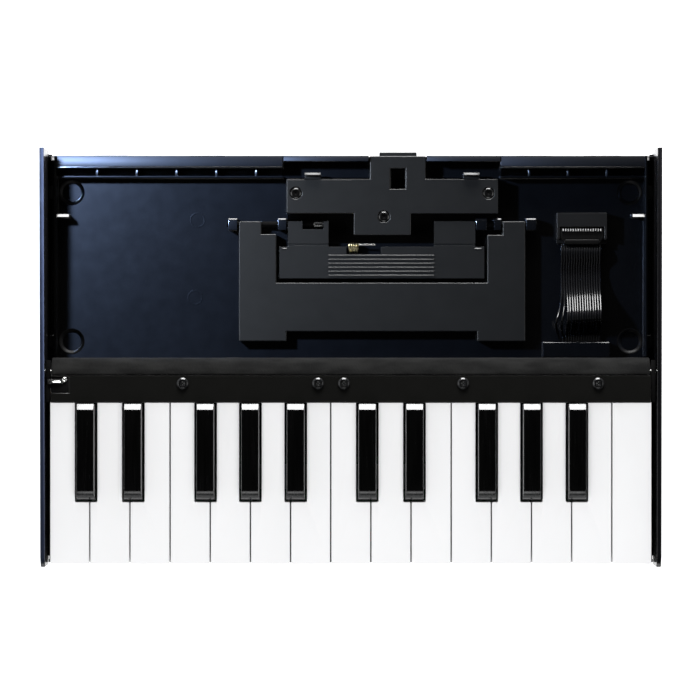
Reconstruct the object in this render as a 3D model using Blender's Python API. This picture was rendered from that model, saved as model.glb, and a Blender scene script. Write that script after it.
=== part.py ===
"""Slim 25-key keyboard dock for a desktop synthesizer module.

A shallow tray for the module lies behind two octaves of keys, between two flat metal side
panels.  In the tray are a fixed T-shaped bracket with a spring latch, two fold-up stand legs
on shared pins, and a flat cable that plugs into the module.

Frame: origin under the middle of the object where its feet stand, +X right, +Y to the rear
(away from the player), +Z up.  All sizes below are millimetres; make_object turns them
into metres.
"""
import math

import bmesh
import bpy
from mathutils import Vector

MM = 0.001
GAP = 0.3                        # left between two pieces that touch

# ---- side panels and overall size
PANEL_OUTER = 154.5              # half of the overall width
PANEL_INNER = 152.2
PANEL_END = 104.3                # half of the overall depth
PANEL_TOP_REAR = 32.0
PANEL_TOP_FRONT = 27.0

# ---- bottom case
CASE_BOTTOM = 2.0
FLOOR_TOP = 4.5
CASE_HALF_WIDTH = 151.9
CASE_FRONT = -103.0
CASE_REAR = 101.1
TRAY_HALF_WIDTH = 147.3
TRAY_WALL = 1.2
TRAY_WALL_TOP = 16.0
RIM_FRONT = 94.8
RIM_TOP = 15.0
RIM_THIN = 98.2                  # front of the rim where it is thinned
RIB_REAR = 91.2
RIB_TOP = 12.0
RECESS = (-33.9, 75.1)           # the stretch of the rim that is thinned behind the bracket
CUP_DEPTH = 1.1                  # cups that take the feet of the module
CUP_RADIUS = 6.3
CUP_FLOOR_RADIUS = 5.0
CUP_PLACES = [(x, y) for x in (-140.6, 140.6) for y in (8.2, 83.2)]

# ---- keys
KEYS_LEFT = -150.0
KEY_PITCH = 20.0
KEY_FRONT = -102.6
KEY_REAR = -15.2
KEY_TOP = 24.5
KEY_BOTTOM = 12.4
KEY_SIDE_GAP = 0.3
KEY_WALL = 1.2
KEY_ROOF = 1.6
SLOT_HALF = 5.55                 # half the gap between white keys where a black key stands
SLOT_FRONT = -71.9
BLACK_HALF = 4.7
BLACK_TOP_HALF = 4.25
BLACK_TOP = 31.5
BLACK_SHOULDER = 24.2
BLACK_FRONT = -70.9
BLACK_BACK = -23.0               # where the raised cap ends in front of the cover
TAIL_REAR = -3.6
TAIL_LOW = 14.5
TAIL_HIGH = 20.5
TAIL_INSET = 0.7
PIVOT = (-7.0, 17.5)             # the hinge line of all keys, as (y, z)
PIVOT_RADIUS = 1.25
PIVOT_HOLE = 1.6
PLUNGER_Y = (-61.0, -58.5)
PLUNGER_LOW = 15.0
DOME_Y = -59.75
WHITE_NOTES = "cdefgab"
# centre of each black key, measured from the line between its two white keys
BLACK_OFFSET = {"c": -1.8, "d": 1.7, "f": -2.3, "g": 0.0, "a": 2.6}
WHITE_COUNT = 15

# ---- key bed
CHASSIS_LOW = FLOOR_TOP + GAP
CHASSIS_TOP = 6.2
CHASSIS_RIBS = (-150.9, -90.0, -10.0, 50.0, 130.0, 150.9)
CROSSBAR_Y = (-14.8, -10.8)
CROSSBAR_Z = (21.2, 24.9)
BOARD_LOW = CHASSIS_TOP + GAP
BOARD_TOP = BOARD_LOW + 1.6

# ---- cover behind the keys
COVER_HALF_WIDTH = 149.2
COVER_SCREW_X = (-83.6, -16.3, -3.4, 55.9, 123.1)
COVER_SCREW_Y = -12.8
COVER_TOP = 26.7
COVER_UNDER = 25.2
CLIP_POCKET_X = -140.3           # shallow pocket under the clip at the left end
CLIP_POCKET_Y = (-17.6, -9.5)
CLIP_POCKET_FLOOR = 26.0

# ---- stand legs, pins and bracket
HINGE = (67.0, 8.0)              # the shared hinge line of the two legs, as (y, z)
PIN_RADIUS = 1.5
PIN_HOLE = 1.8
STAND_LOW = 5.4
STAND_TOP = 11.0
STAND_WALL = 1.5
EAR_TOP = 11.3
EAR_SPANS = [(-61.5, -57.0), (-36.6, -32.3), (62.9, 68.3), (71.9, 75.6), (88.1, 93.0)]
BRACKET_LOW = FLOOR_TOP + GAP
BRACKET_TOP = 12.8
BRACKET_ROOF = 1.5
BRACKET_SCREWS = {"left": (-27.6, 82.5), "middle": (16.6, 70.7), "right": (69.1, 82.5)}
LATCH_X = (14.3, 33.1)

# ---- flat cable
RIBBON_X = (105.5, 125.8)
RIBBON_THICKNESS = 1.1
# route of the cable's middle from the main board to the plug, as (y, z)
RIBBON_ROUTE = [
    (-9.0, 9.0), (-3.0, 9.0), (0.0, 8.3), (4.0, 6.8), (9.0, 6.1), (12.5, 6.8), (15.5, 9.8),
    (18.0, 14.0), (20.3, 16.6), (23.2, 16.1), (27.0, 13.5), (31.0, 10.8), (35.0, 8.9), (39.5, 7.7),
    (43.0, 7.2), (47.0, 8.3), (50.3, 9.9), (53.0, 9.4), (56.8, 8.4),
]

MATERIALS = {
    # name: (colour, roughness, metallic)
    "case_plastic": ((0.010, 0.011, 0.015), 0.42, 0.0),
    "panel_metal": ((0.020, 0.020, 0.026), 0.38, 0.6),
    "cover_plastic": ((0.010, 0.010, 0.009), 0.50, 0.0),
    "white_key": ((0.88, 0.88, 0.87), 0.25, 0.0),
    "black_key": ((0.006, 0.006, 0.007), 0.12, 0.0),
    "cloth": ((0.022, 0.023, 0.023), 0.95, 0.0),
    "stand_plastic": ((0.022, 0.023, 0.026), 0.45, 0.0),
    "bright_steel": ((0.70, 0.70, 0.68), 0.25, 1.0),
    "black_screw": ((0.030, 0.030, 0.030), 0.30, 0.9),
    "brass": ((0.72, 0.55, 0.25), 0.30, 1.0),
    "chassis_plastic": ((0.050, 0.050, 0.050), 0.60, 0.0),
    "circuit_board": ((0.020, 0.140, 0.050), 0.50, 0.0),
    "rubber": ((0.030, 0.030, 0.030), 0.85, 0.0),
    "dome_rubber": ((0.35, 0.36, 0.36), 0.80, 0.0),
    "felt": ((0.25, 0.05, 0.05), 1.0, 0.0),
    "ribbon": ((0.030, 0.032, 0.036), 0.35, 0.0),
    "plug_plastic": ((0.012, 0.012, 0.013), 0.40, 0.0),
}


# ---------------------------------------------------------------- mesh helpers

def add_block(bm, x, y, z):
    """Add a box between the (low, high) pairs x, y and z."""
    add_prism(bm, [(x[0], y[0]), (x[1], y[0]), (x[1], y[1]), (x[0], y[1])], "z", z)


def placed(axis, u, v, w):
    """A point with w along the axis and (u, v) across it: yz for x, xz for y, xy for z."""
    return {"x": (w, u, v), "y": (u, w, v), "z": (u, v, w)}[axis]


def add_prism(bm, outline, axis, span):
    """Extrude a closed outline of (u, v) points along an axis."""
    low = [bm.verts.new(placed(axis, u, v, span[0])) for u, v in outline]
    high = [bm.verts.new(placed(axis, u, v, span[1])) for u, v in outline]
    bm.faces.new(low)
    bm.faces.new(high)
    bridge(bm, low, high)


def bridge(bm, ring_a, ring_b):
    """Join two rings of the same length with quads."""
    for i in range(len(ring_a)):
        j = (i + 1) % len(ring_a)
        bm.faces.new((ring_a[i], ring_a[j], ring_b[j], ring_b[i]))


def circle(centre, radius, sides):
    """Points of a regular polygon, with a flat side down."""
    turn = [2.0 * math.pi * (k + 0.5) / sides for k in range(sides)]
    return [(centre[0] + radius * math.cos(a), centre[1] + radius * math.sin(a)) for a in turn]


def add_cylinder(bm, centre, radius, axis, span, sides=12):
    """Add a solid cylinder; centre is across the axis."""
    add_prism(bm, circle(centre, radius, sides), axis, span)


def inset(outline, distance):
    """Move every side of a counter-clockwise outline inwards by a distance."""
    points = [Vector(p) for p in outline]
    moved = []
    for i, point in enumerate(points):
        before = (point - points[i - 1]).normalized()
        after = (points[(i + 1) % len(points)] - point).normalized()
        normal_before = Vector((-before.y, before.x))
        normal_after = Vector((-after.y, after.x))
        shift = (normal_before + normal_after) / (1.0 + normal_before.dot(normal_after))
        moved.append(tuple(point + shift * distance))
    return moved


def add_shell(bm, outline, wall, low, high, roof):
    """Add a tub turned upside down: a roof with a wall all round, open below."""
    inner = inset(outline, wall)
    outer_low = [bm.verts.new((x, y, low)) for x, y in outline]
    outer_high = [bm.verts.new((x, y, high)) for x, y in outline]
    inner_low = [bm.verts.new((x, y, low)) for x, y in inner]
    inner_high = [bm.verts.new((x, y, high - roof)) for x, y in inner]
    bm.faces.new(outer_high)
    bm.faces.new(inner_high)
    bridge(bm, outer_low, outer_high)
    bridge(bm, inner_low, inner_high)
    bridge(bm, outer_low, inner_low)


def add_turned(bm, centre, profile, sides=12):
    """Turn a profile of (radius, z) points about a vertical line; its ends are flat caps."""
    rings = []
    for radius, z in profile:
        rings.append([bm.verts.new((x, y, z)) for x, y in circle(centre, radius, sides)])
    bm.faces.new(rings[0])
    bm.faces.new(rings[-1])
    for ring_a, ring_b in zip(rings, rings[1:]):
        bridge(bm, ring_a, ring_b)


# ---------------------------------------------------------------- object helpers

def make_material(name):
    """Make one Principled material from the table."""
    colour, roughness, metallic = MATERIALS[name]
    material = bpy.data.materials.new(name)
    material.use_nodes = True
    shader = material.node_tree.nodes["Principled BSDF"]
    shader.inputs["Base Color"].default_value = (*colour, 1.0)
    shader.inputs["Roughness"].default_value = roughness
    shader.inputs["Metallic"].default_value = metallic
    material.diffuse_color = (*colour, 1.0)
    return material


def make_object(name, bm, material, origin=(0.0, 0.0, 0.0), smooth=False):
    """Turn a bmesh in millimetres into an object in metres, with its origin at a point."""
    bmesh.ops.recalc_face_normals(bm, faces=bm.faces)
    bmesh.ops.translate(bm, verts=bm.verts, vec=-Vector(origin))
    bmesh.ops.scale(bm, verts=bm.verts, vec=(MM, MM, MM))
    mesh = bpy.data.meshes.new(name)
    bm.to_mesh(mesh)
    bm.free()
    if material:
        mesh.materials.append(bpy.data.materials.get(material) or make_material(material))
    if smooth:
        mesh.shade_smooth()
        mesh.set_sharp_from_angle(angle=math.radians(35.0))
    obj = bpy.data.objects.new(name, mesh)
    obj.location = Vector(origin) * MM
    bpy.context.scene.collection.objects.link(obj)
    return obj


def combine(obj, operation, bm):
    """Join (UNION) or cut (DIFFERENCE) a bmesh with an object through a Boolean modifier."""
    index = len(obj.modifiers)
    guide = make_object(f"{obj.name}_guide_{index}", bm, None)
    guide.hide_render = True
    guide.display_type = "WIRE"
    modifier = obj.modifiers.new(operation.lower(), "BOOLEAN")
    modifier.operation = operation
    modifier.solver = "EXACT"
    modifier.object = guide


# ---------------------------------------------------------------- body

def build_side_panels():
    """Two flat metal plates whose top edges fall towards the front."""
    profile = [
        (-PANEL_END + 3.0, CASE_BOTTOM), (PANEL_END, CASE_BOTTOM), (PANEL_END, PANEL_TOP_REAR),
        (-PANEL_END + 5.0, PANEL_TOP_FRONT), (-PANEL_END, PANEL_TOP_FRONT - 3.0),
        (-PANEL_END, CASE_BOTTOM + 3.0),
    ]
    for side, span in (("left", (-PANEL_OUTER, -PANEL_INNER)), ("right", (PANEL_INNER, PANEL_OUTER))):
        bm = bmesh.new()
        add_prism(bm, profile, "x", span)
        make_object(f"side_panel_{side}", bm, "panel_metal")


def build_bottom_case():
    """Floor, tray walls, hollow rear rim, hinge ears, screw bosses and cable hood."""
    bm = bmesh.new()
    add_block(bm, (-CASE_HALF_WIDTH, CASE_HALF_WIDTH), (CASE_FRONT, CASE_REAR), (CASE_BOTTOM, FLOOR_TOP))
    case = make_object("bottom_case", bm, "case_plastic")

    root = FLOOR_TOP - 0.5
    bm = bmesh.new()
    add_block(bm, (-CASE_HALF_WIDTH, CASE_HALF_WIDTH), (CASE_FRONT, CASE_FRONT + 1.6), (root, 7.2))
    for side in (-1, 1):
        wall = sorted((side * TRAY_HALF_WIDTH, side * (TRAY_HALF_WIDTH + TRAY_WALL)))
        add_block(bm, wall, (0.5, CASE_REAR), (root, TRAY_WALL_TOP))
        for x, y in CUP_PLACES:
            if x * side > 0:
                boss = sorted((side * (TRAY_HALF_WIDTH + TRAY_WALL + 0.5), side * (CASE_HALF_WIDTH - 0.4)))
                add_block(bm, boss, (y - 3.0, y + 3.0), (root, TRAY_WALL_TOP - 4.0))
    ear_rear = HINGE[0] + 3.0
    ear_profile = [(HINGE[0] - 3.0, root), (ear_rear, root), (ear_rear, EAR_TOP - 1.0),
                   (ear_rear - 1.4, EAR_TOP), (HINGE[0] - 3.0, EAR_TOP)]
    for x in EAR_SPANS:
        add_prism(bm, ear_profile, "x", x)
    for x, y in BRACKET_SCREWS.values():
        add_cylinder(bm, (x, y), 3.0, "z", (root, BRACKET_TOP - BRACKET_ROOF - GAP))
    for x in (16.0, 29.0):
        add_block(bm, (x, x + 2.4), (80.5, 86.5), (root, 9.2))
    combine(case, "UNION", bm)

    bm = bmesh.new()
    into_wall = TRAY_HALF_WIDTH + 0.5
    add_block(bm, (-into_wall, into_wall), (RIM_FRONT, CASE_REAR), (root, RIM_TOP))
    for x in ((-into_wall, RECESS[0]), (RECESS[1], into_wall)):
        add_block(bm, x, (RIB_REAR - 1.0, RIB_REAR), (root, RIB_TOP))
    tab_profile = [(70.4, root), (72.1, root), (72.1, 12.8), (70.4, 14.0)]
    for side in (-1, 1):
        add_prism(bm, tab_profile, "x", sorted((side * 141.2, side * into_wall)))
    hood_profile = [(96.5, root), (98.0, root), (98.0, 10.0), (128.5, 10.0), (128.5, root),
                    (130.0, root), (130.0, 11.2), (96.5, 11.2)]
    add_prism(bm, hood_profile, "y", (0.3, 7.8))
    combine(case, "UNION", bm)

    bm = bmesh.new()
    for x in (-127.5, -107.5, -87.5, -67.5, -47.5, 89.5, 109.0, 128.5):
        add_block(bm, (x - 0.6, x + 0.6), (RIB_REAR - 0.5, RIM_FRONT + 0.5), (root, RIB_TOP - 1.0))
    for side in (-1, 1):
        corner = sorted((side * (TRAY_HALF_WIDTH + TRAY_WALL - 0.4), side * CASE_HALF_WIDTH))
        add_block(bm, corner, (CASE_REAR - 1.6, CASE_REAR), (root, RIM_TOP - 2.5))
    combine(case, "UNION", bm)

    bm = bmesh.new()
    add_block(bm, RECESS, (RIM_FRONT - 1.0, RIM_THIN), (FLOOR_TOP, RIM_TOP + 1.0))
    hollow_y = (RIM_FRONT + 1.3, CASE_REAR - 1.3)
    hollow_z = (CASE_BOTTOM - 1.0, RIM_TOP - 1.3)
    add_block(bm, (-TRAY_HALF_WIDTH + 0.3, RECESS[0] - 1.5), hollow_y, hollow_z)
    add_block(bm, (RECESS[1] + 1.5, TRAY_HALF_WIDTH - 0.3), hollow_y, hollow_z)
    add_prism(bm, [(7.1, 11.3), (7.9, 11.3), (7.9, 10.7)], "x", (96.0, 130.5))
    add_cylinder(bm, HINGE, PIN_HOLE, "x", (-63.0, 94.0))
    for x, y in BRACKET_SCREWS.values():
        add_cylinder(bm, (x, y), 1.6, "z", (FLOOR_TOP, BRACKET_TOP))
    for x, y in CUP_PLACES:
        cup = [(CUP_FLOOR_RADIUS, FLOOR_TOP - CUP_DEPTH), (CUP_RADIUS, FLOOR_TOP),
               (CUP_RADIUS + 0.1, FLOOR_TOP + 0.1)]
        add_turned(bm, (x, y), cup, 24)
    combine(case, "DIFFERENCE", bm)

    bm = bmesh.new()
    add_block(bm, (9.0, 38.0), (RIM_THIN - 0.7, CASE_REAR + 1.0), (6.0, RIM_TOP + 1.0))
    combine(case, "DIFFERENCE", bm)


def build_feet():
    """Four low rubber feet under the corners."""
    for end, y in (("front", -92.0), ("rear", 89.0)):
        for side, x in (("left", -138.0), ("right", 138.0)):
            bm = bmesh.new()
            add_turned(bm, (x, y), [(4.6, 0.0), (5.2, 0.5), (5.2, CASE_BOTTOM - GAP)], 16)
            make_object(f"foot_{end}_{side}", bm, "rubber", smooth=True)


# ---------------------------------------------------------------- key bed

def build_key_chassis():
    """Base plate with the ribs that hold the key rod, a crossbar and one guide post per key."""
    bm = bmesh.new()
    add_block(bm, (-151.5, 151.5), (-98.5, -2.7), (CHASSIS_LOW, CHASSIS_TOP))
    chassis = make_object("key_chassis", bm, "chassis_plastic")
    root = CHASSIS_TOP - 0.6

    bm = bmesh.new()
    for x in CHASSIS_RIBS:
        add_block(bm, (x - 0.6, x + 0.6), (CROSSBAR_Y[0] + 0.4, -4.6), (root, CROSSBAR_Z[0] + 0.6))
    for i in range(WHITE_COUNT):
        x = KEYS_LEFT + KEY_PITCH * (i + 0.5)
        add_block(bm, (x - 2.0, x + 2.0), (-97.5, -94.5), (root, 17.0))
    combine(chassis, "UNION", bm)

    bm = bmesh.new()
    add_block(bm, (-149.0, 149.0), CROSSBAR_Y, CROSSBAR_Z)
    combine(chassis, "UNION", bm)

    bm = bmesh.new()
    add_cylinder(bm, PIVOT, PIVOT_RADIUS + GAP, "x", (-153.0, 153.0))
    for x in COVER_SCREW_X:
        add_cylinder(bm, (x, COVER_SCREW_Y), 1.5, "z", (CROSSBAR_Z[0] - 1.0, CROSSBAR_Z[1] + 1.0))
    combine(chassis, "DIFFERENCE", bm)


def build_key_rod():
    """The steel rod that all keys turn on."""
    bm = bmesh.new()
    add_cylinder(bm, PIVOT, PIVOT_RADIUS, "x", (-151.8, 151.8))
    make_object("key_pivot_rod", bm, "bright_steel", smooth=True)


def build_boards():
    """Contact board under the keys, main board under the cover, and the felt stop strip."""
    for name, material, x, y in (
        ("contact_board", "circuit_board", (-146.0, 146.0), (-75.0, -50.0)),
        ("main_board", "circuit_board", (52.0, 128.0), (-22.5, -3.0)),
        ("key_stop_felt", "felt", (-148.0, 148.0), (-92.5, -87.5)),
    ):
        bm = bmesh.new()
        add_block(bm, x, y, (BOARD_LOW, BOARD_TOP))
        make_object(name, bm, material)


def build_contact_rubber(dome_places):
    """A rubber strip with one switch dome under each key."""
    base = (BOARD_TOP + GAP, BOARD_TOP + GAP + 0.7)
    bm = bmesh.new()
    add_block(bm, (-147.0, 147.0), (-66.0, -53.5), base)
    strip = make_object("contact_rubber", bm, "dome_rubber")
    bm = bmesh.new()
    for x in dome_places:
        add_turned(bm, (x, DOME_Y), [(2.7, base[1] - 0.3), (2.5, base[1] + 0.6), (1.8, 12.0)], 8)
    combine(strip, "UNION", bm)


def build_rear_cover():
    """Black cover over the key tails, with a step down for the cloth strip."""
    outer = [(-22.5, COVER_UNDER), (-22.5, COVER_TOP - 0.4), (-22.1, COVER_TOP), (-8.9, COVER_TOP),
             (-8.9, 25.8), (-6.0, 25.1), (-3.2, 23.5), (-1.6, 21.2), (-0.9, 18.4), (-0.9, FLOOR_TOP + GAP)]
    inner = [(-2.3, FLOOR_TOP + GAP), (-2.3, 18.2), (-2.9, 20.5), (-4.2, 22.3), (-6.4, 23.6),
             (-8.2, 24.2), (-9.4, COVER_UNDER)]
    bm = bmesh.new()
    add_prism(bm, outer + inner, "x", (-COVER_HALF_WIDTH, COVER_HALF_WIDTH))
    cover = make_object("key_rear_cover", bm, "cover_plastic")
    bm = bmesh.new()
    for x in COVER_SCREW_X:
        add_cylinder(bm, (x, COVER_SCREW_Y), 1.6, "z", (COVER_UNDER - 1.0, COVER_TOP + 1.0))
    add_block(bm, (97.8, 128.7), (-4.0, 1.0), (FLOOR_TOP, 10.0))
    pocket_x = (-COVER_HALF_WIDTH - 1.0, CLIP_POCKET_X)
    add_block(bm, pocket_x, CLIP_POCKET_Y, (CLIP_POCKET_FLOOR, COVER_TOP + 1.0))
    combine(cover, "DIFFERENCE", bm)


def build_cloth_strip():
    """Dust cloth laid along the rear slope of the cover."""
    upper = [(-8.6, 26.8), (-5.5, 26.2), (-2.4, 24.4), (-0.7, 21.8), (0.0, 18.5), (0.0, 13.0)]
    lower = [(-0.6, 13.0), (-0.6, 18.5), (-1.25, 21.5), (-2.9, 23.85), (-5.8, 25.45), (-8.6, 26.1)]
    bm = bmesh.new()
    add_prism(bm, upper + lower, "x", (-148.9, 148.9))
    make_object("cloth_strip", bm, "cloth")


# ---------------------------------------------------------------- keys

def black_centre(index, note):
    """X of the black key to the right of a white key."""
    return KEYS_LEFT + KEY_PITCH * (index + 1) + BLACK_OFFSET[note]


def add_tail_and_plunger(key, low_x, high_x, overlap_y):
    """Give a key its hinge tail, the plunger above its switch dome and the hole for the rod."""
    middle = 0.5 * (low_x + high_x)
    bm = bmesh.new()
    add_block(bm, (low_x + TAIL_INSET, high_x - TAIL_INSET), (overlap_y, TAIL_REAR), (TAIL_LOW, TAIL_HIGH))
    add_block(bm, (middle - 1.5, middle + 1.5), PLUNGER_Y, (PLUNGER_LOW, KEY_TOP - KEY_ROOF + 0.5))
    combine(key, "UNION", bm)
    bm = bmesh.new()
    add_cylinder(bm, PIVOT, PIVOT_HOLE, "x", (low_x - 1.0, high_x + 1.0))
    combine(key, "DIFFERENCE", bm)
    return middle


def build_white_key(index):
    """One hollow white key, notched beside its black neighbours; returns its dome's x."""
    note = WHITE_NOTES[index % 7]
    previous = WHITE_NOTES[(index - 1) % 7]
    left = KEYS_LEFT + KEY_PITCH * index + KEY_SIDE_GAP
    right = KEYS_LEFT + KEY_PITCH * (index + 1) - KEY_SIDE_GAP
    rear_left = left
    rear_right = right
    outline = [(left, KEY_FRONT), (right, KEY_FRONT)]
    if note in BLACK_OFFSET and index < WHITE_COUNT - 1:
        rear_right = black_centre(index, note) - SLOT_HALF
        outline += [(right, SLOT_FRONT), (rear_right, SLOT_FRONT)]
    outline += [(rear_right, KEY_REAR)]
    if previous in BLACK_OFFSET and index > 0:
        rear_left = black_centre(index - 1, previous) + SLOT_HALF
        outline += [(rear_left, KEY_REAR), (rear_left, SLOT_FRONT), (left, SLOT_FRONT)]
    else:
        outline += [(rear_left, KEY_REAR)]
    bm = bmesh.new()
    add_shell(bm, outline, KEY_WALL, KEY_BOTTOM, KEY_TOP, KEY_ROOF)
    origin = (0.5 * (left + right), *PIVOT)
    key = make_object(f"key_{note}{index // 7 + 1}", bm, "white_key", origin)
    return add_tail_and_plunger(key, rear_left, rear_right, KEY_REAR - 0.8)


def build_black_key(index, note):
    """One black key with a narrowing cap, sloped in front and at the back; returns its dome's x."""
    centre = black_centre(index, note)
    narrowing = (BLACK_HALF - BLACK_TOP_HALF) / (BLACK_TOP - BLACK_SHOULDER)
    front_low, rear_low = (BLACK_FRONT, KEY_BOTTOM), (KEY_REAR, KEY_BOTTOM)
    front_shoulder, back_shoulder = (BLACK_FRONT, BLACK_SHOULDER), (BLACK_BACK, BLACK_SHOULDER)
    cap = [(BLACK_BACK, BLACK_TOP - 2.0), (BLACK_BACK - 2.8, BLACK_TOP), (BLACK_FRONT + 5.0, BLACK_TOP),
           (BLACK_FRONT + 2.4, BLACK_TOP - 1.3), (BLACK_FRONT + 0.7, BLACK_TOP - 3.9)]
    outline = [front_low, rear_low, (KEY_REAR, BLACK_SHOULDER), back_shoulder, *cap, front_shoulder]
    bm = bmesh.new()
    rings = {}
    for side in (-1, 1):
        for y, z in outline:
            half = BLACK_HALF - narrowing * max(0.0, z - BLACK_SHOULDER)
            rings[side, y, z] = bm.verts.new((centre + side * half, y, z))
        bm.faces.new([rings[side, y, z] for y, z in outline[:4] + [front_shoulder]])
        bm.faces.new([rings[side, y, z] for y, z in [front_shoulder, back_shoulder, *cap]])
    bridge(bm, [rings[-1, y, z] for y, z in outline], [rings[1, y, z] for y, z in outline])
    key = make_object(f"key_{note}{index // 7 + 1}_sharp", bm, "black_key", (centre, *PIVOT))

    bm = bmesh.new()
    add_block(bm, (centre - BLACK_HALF + KEY_WALL, centre + BLACK_HALF - KEY_WALL),
              (BLACK_FRONT + KEY_WALL, KEY_REAR - KEY_WALL), (KEY_BOTTOM - 1.0, KEY_TOP - KEY_ROOF))
    combine(key, "DIFFERENCE", bm)
    return add_tail_and_plunger(key, centre - BLACK_HALF, centre + BLACK_HALF, KEY_REAR - 0.8)


def build_keys():
    """Two octaves and one note; returns the x of every switch dome."""
    dome_places = []
    for index in range(WHITE_COUNT):
        dome_places.append(build_white_key(index))
        note = WHITE_NOTES[index % 7]
        if note in BLACK_OFFSET and index < WHITE_COUNT - 1:
            dome_places.append(build_black_key(index, note))
    return dome_places


# ---------------------------------------------------------------- stand, bracket and latch

def build_stand_outer():
    """The U-shaped leg: two arms, a wide crossbar and two feet."""
    outline = [
        (-56.2, 8.2), (-32.3, 8.2), (-32.3, 13.1), (63.4, 13.1), (63.4, 8.2), (87.6, 8.2),
        (87.6, 68.4), (76.2, 68.4), (76.2, 61.6), (68.5, 61.6), (68.5, 37.6), (-37.4, 37.6),
        (-37.4, 62.0), (-44.9, 62.0), (-44.9, 68.4), (-56.2, 68.4),
    ]
    bm = bmesh.new()
    add_shell(bm, outline, STAND_WALL, STAND_LOW, STAND_TOP, STAND_WALL)
    stand = make_object("stand_outer", bm, "stand_plastic", (15.7, *HINGE))
    bm = bmesh.new()
    add_cylinder(bm, HINGE, PIN_HOLE, "x", (-60.0, -40.0))
    add_cylinder(bm, HINGE, PIN_HOLE, "x", (70.0, 90.0))
    combine(stand, "DIFFERENCE", bm)


def build_stand_inner():
    """The short leg: a ribbed plate on two arms, with a notch for its spring."""
    outline = [
        (-35.8, 39.8), (67.0, 39.8), (67.0, 55.6), (62.5, 55.6), (62.5, 68.4), (41.8, 68.4), (41.8, 55.6),
        (15.2, 55.6), (15.2, 51.9), (-2.2, 51.9), (-2.2, 55.6), (-11.2, 55.6), (-11.2, 68.4),
        (-13.7, 68.4), (-13.7, 64.4), (-24.3, 64.4), (-24.3, 68.4), (-31.5, 68.4), (-31.5, 55.6), (-35.8, 55.6),
    ]
    bm = bmesh.new()
    add_shell(bm, outline, 1.0, STAND_LOW, STAND_TOP, STAND_WALL)
    stand = make_object("stand_inner", bm, "stand_plastic", (15.7, *HINGE))
    bm = bmesh.new()
    for k in range(6):
        y = 40.6 + 2.0 * k
        add_block(bm, (-11.3, 41.8), (y, y + 1.0), (STAND_TOP - 0.5, STAND_TOP + 0.6))
    combine(stand, "UNION", bm)
    bm = bmesh.new()
    add_cylinder(bm, HINGE, PIN_HOLE, "x", (-34.0, -12.7))
    add_cylinder(bm, HINGE, PIN_HOLE, "x", (43.0, 65.0))
    for x in ((-33.0, -10.0), (40.5, 64.0)):
        add_block(bm, x, (56.2, 57.2), (STAND_TOP - 0.6, STAND_TOP + 1.0))
    combine(stand, "DIFFERENCE", bm)


def build_stand_pins():
    """Two steel pins that run through the ears and the arms of both legs."""
    for side, span in (("left", (-62.2, -13.0)), ("right", (43.6, 93.6))):
        bm = bmesh.new()
        add_cylinder(bm, HINGE, PIN_RADIUS, "x", span)
        make_object(f"stand_pin_{side}", bm, "bright_steel", smooth=True)


def build_coil(name, material, centre, start, direction, length, turns, radius, wire, leg, origin):
    """A wire coil about a line; leg adds straight wire past its far end, along the line."""
    axis = Vector(direction)
    side = Vector((0.0, 0.0, 1.0))
    other = axis.cross(side)
    steps = 12
    points = []
    for k in range(steps * turns + 1):
        angle = 2.0 * math.pi * k / steps - 0.25 * math.pi
        offset = side * (radius * math.cos(angle)) + other * (radius * math.sin(angle))
        points.append(Vector(centre) + offset + axis * (start + length * k / (steps * turns)))
    if leg:
        points.append(points[-1] + axis * leg)
    curve = bpy.data.curves.new(name, "CURVE")
    curve.dimensions = "3D"
    curve.bevel_depth = wire * MM
    curve.bevel_resolution = 1
    curve.render_resolution_u = 0
    curve.use_fill_caps = True
    spline = curve.splines.new("POLY")
    spline.points.add(len(points) - 1)
    for point, place in zip(spline.points, points):
        point.co = (*((place - Vector(origin)) * MM), 1.0)
    curve.materials.append(bpy.data.materials.get(material) or make_material(material))
    coil = bpy.data.objects.new(name, curve)
    coil.location = Vector(origin) * MM
    bpy.context.scene.collection.objects.link(coil)


def build_springs():
    """The brass spring of the short leg and the return spring of the latch."""
    build_coil("stand_spring", "brass", (0.0, 55.0, 8.2), -1.2, (1.0, 0.0, 0.0), 5.0, 5, 2.4, 0.4,
               8.0, (15.7, *HINGE))
    build_coil("latch_spring", "bright_steel", (23.7, 0.0, 8.4), 75.2, (0.0, 1.0, 0.0), 2.6, 4, 1.6, 0.25,
               0.0, (0.0, 0.0, 0.0))


def build_bracket():
    """T-shaped bracket: a hollow bar and tab on the tray floor, and a thin tab over the rim."""
    outline = [(1.4, 61.5), (30.2, 61.5), (30.2, 72.3), (73.9, 72.3), (73.9, 89.5), (-32.3, 89.5),
               (-32.3, 72.3), (1.4, 72.3)]
    bm = bmesh.new()
    add_shell(bm, outline, 1.5, BRACKET_LOW, BRACKET_TOP, BRACKET_ROOF)
    bracket = make_object("module_bracket", bm, "stand_plastic")
    bm = bmesh.new()
    add_block(bm, (9.5, 37.5), (88.5, 101.1), (BRACKET_TOP - BRACKET_ROOF, BRACKET_TOP))
    for x in ((-23.3, -14.9), (56.3, 64.6)):
        add_block(bm, x, (88.5, 92.4), (8.6, 10.2))
    combine(bracket, "UNION", bm)
    bm = bmesh.new()
    add_block(bm, (LATCH_X[0] - 0.5, LATCH_X[1] + 0.5), (87.0, 91.0), (BRACKET_LOW - 1.0, 11.25))
    combine(bracket, "DIFFERENCE", bm)
    bm = bmesh.new()
    add_block(bm, (19.7, 27.5), (84.6, 94.9), (BRACKET_TOP - BRACKET_ROOF - 0.5, BRACKET_TOP + 1.0))
    for x, y in BRACKET_SCREWS.values():
        add_turned(bm, (x, y), [(1.7, 10.0), (1.7, 11.8), (3.0, 11.8), (3.0, 13.5)])
    combine(bracket, "DIFFERENCE", bm)


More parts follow.
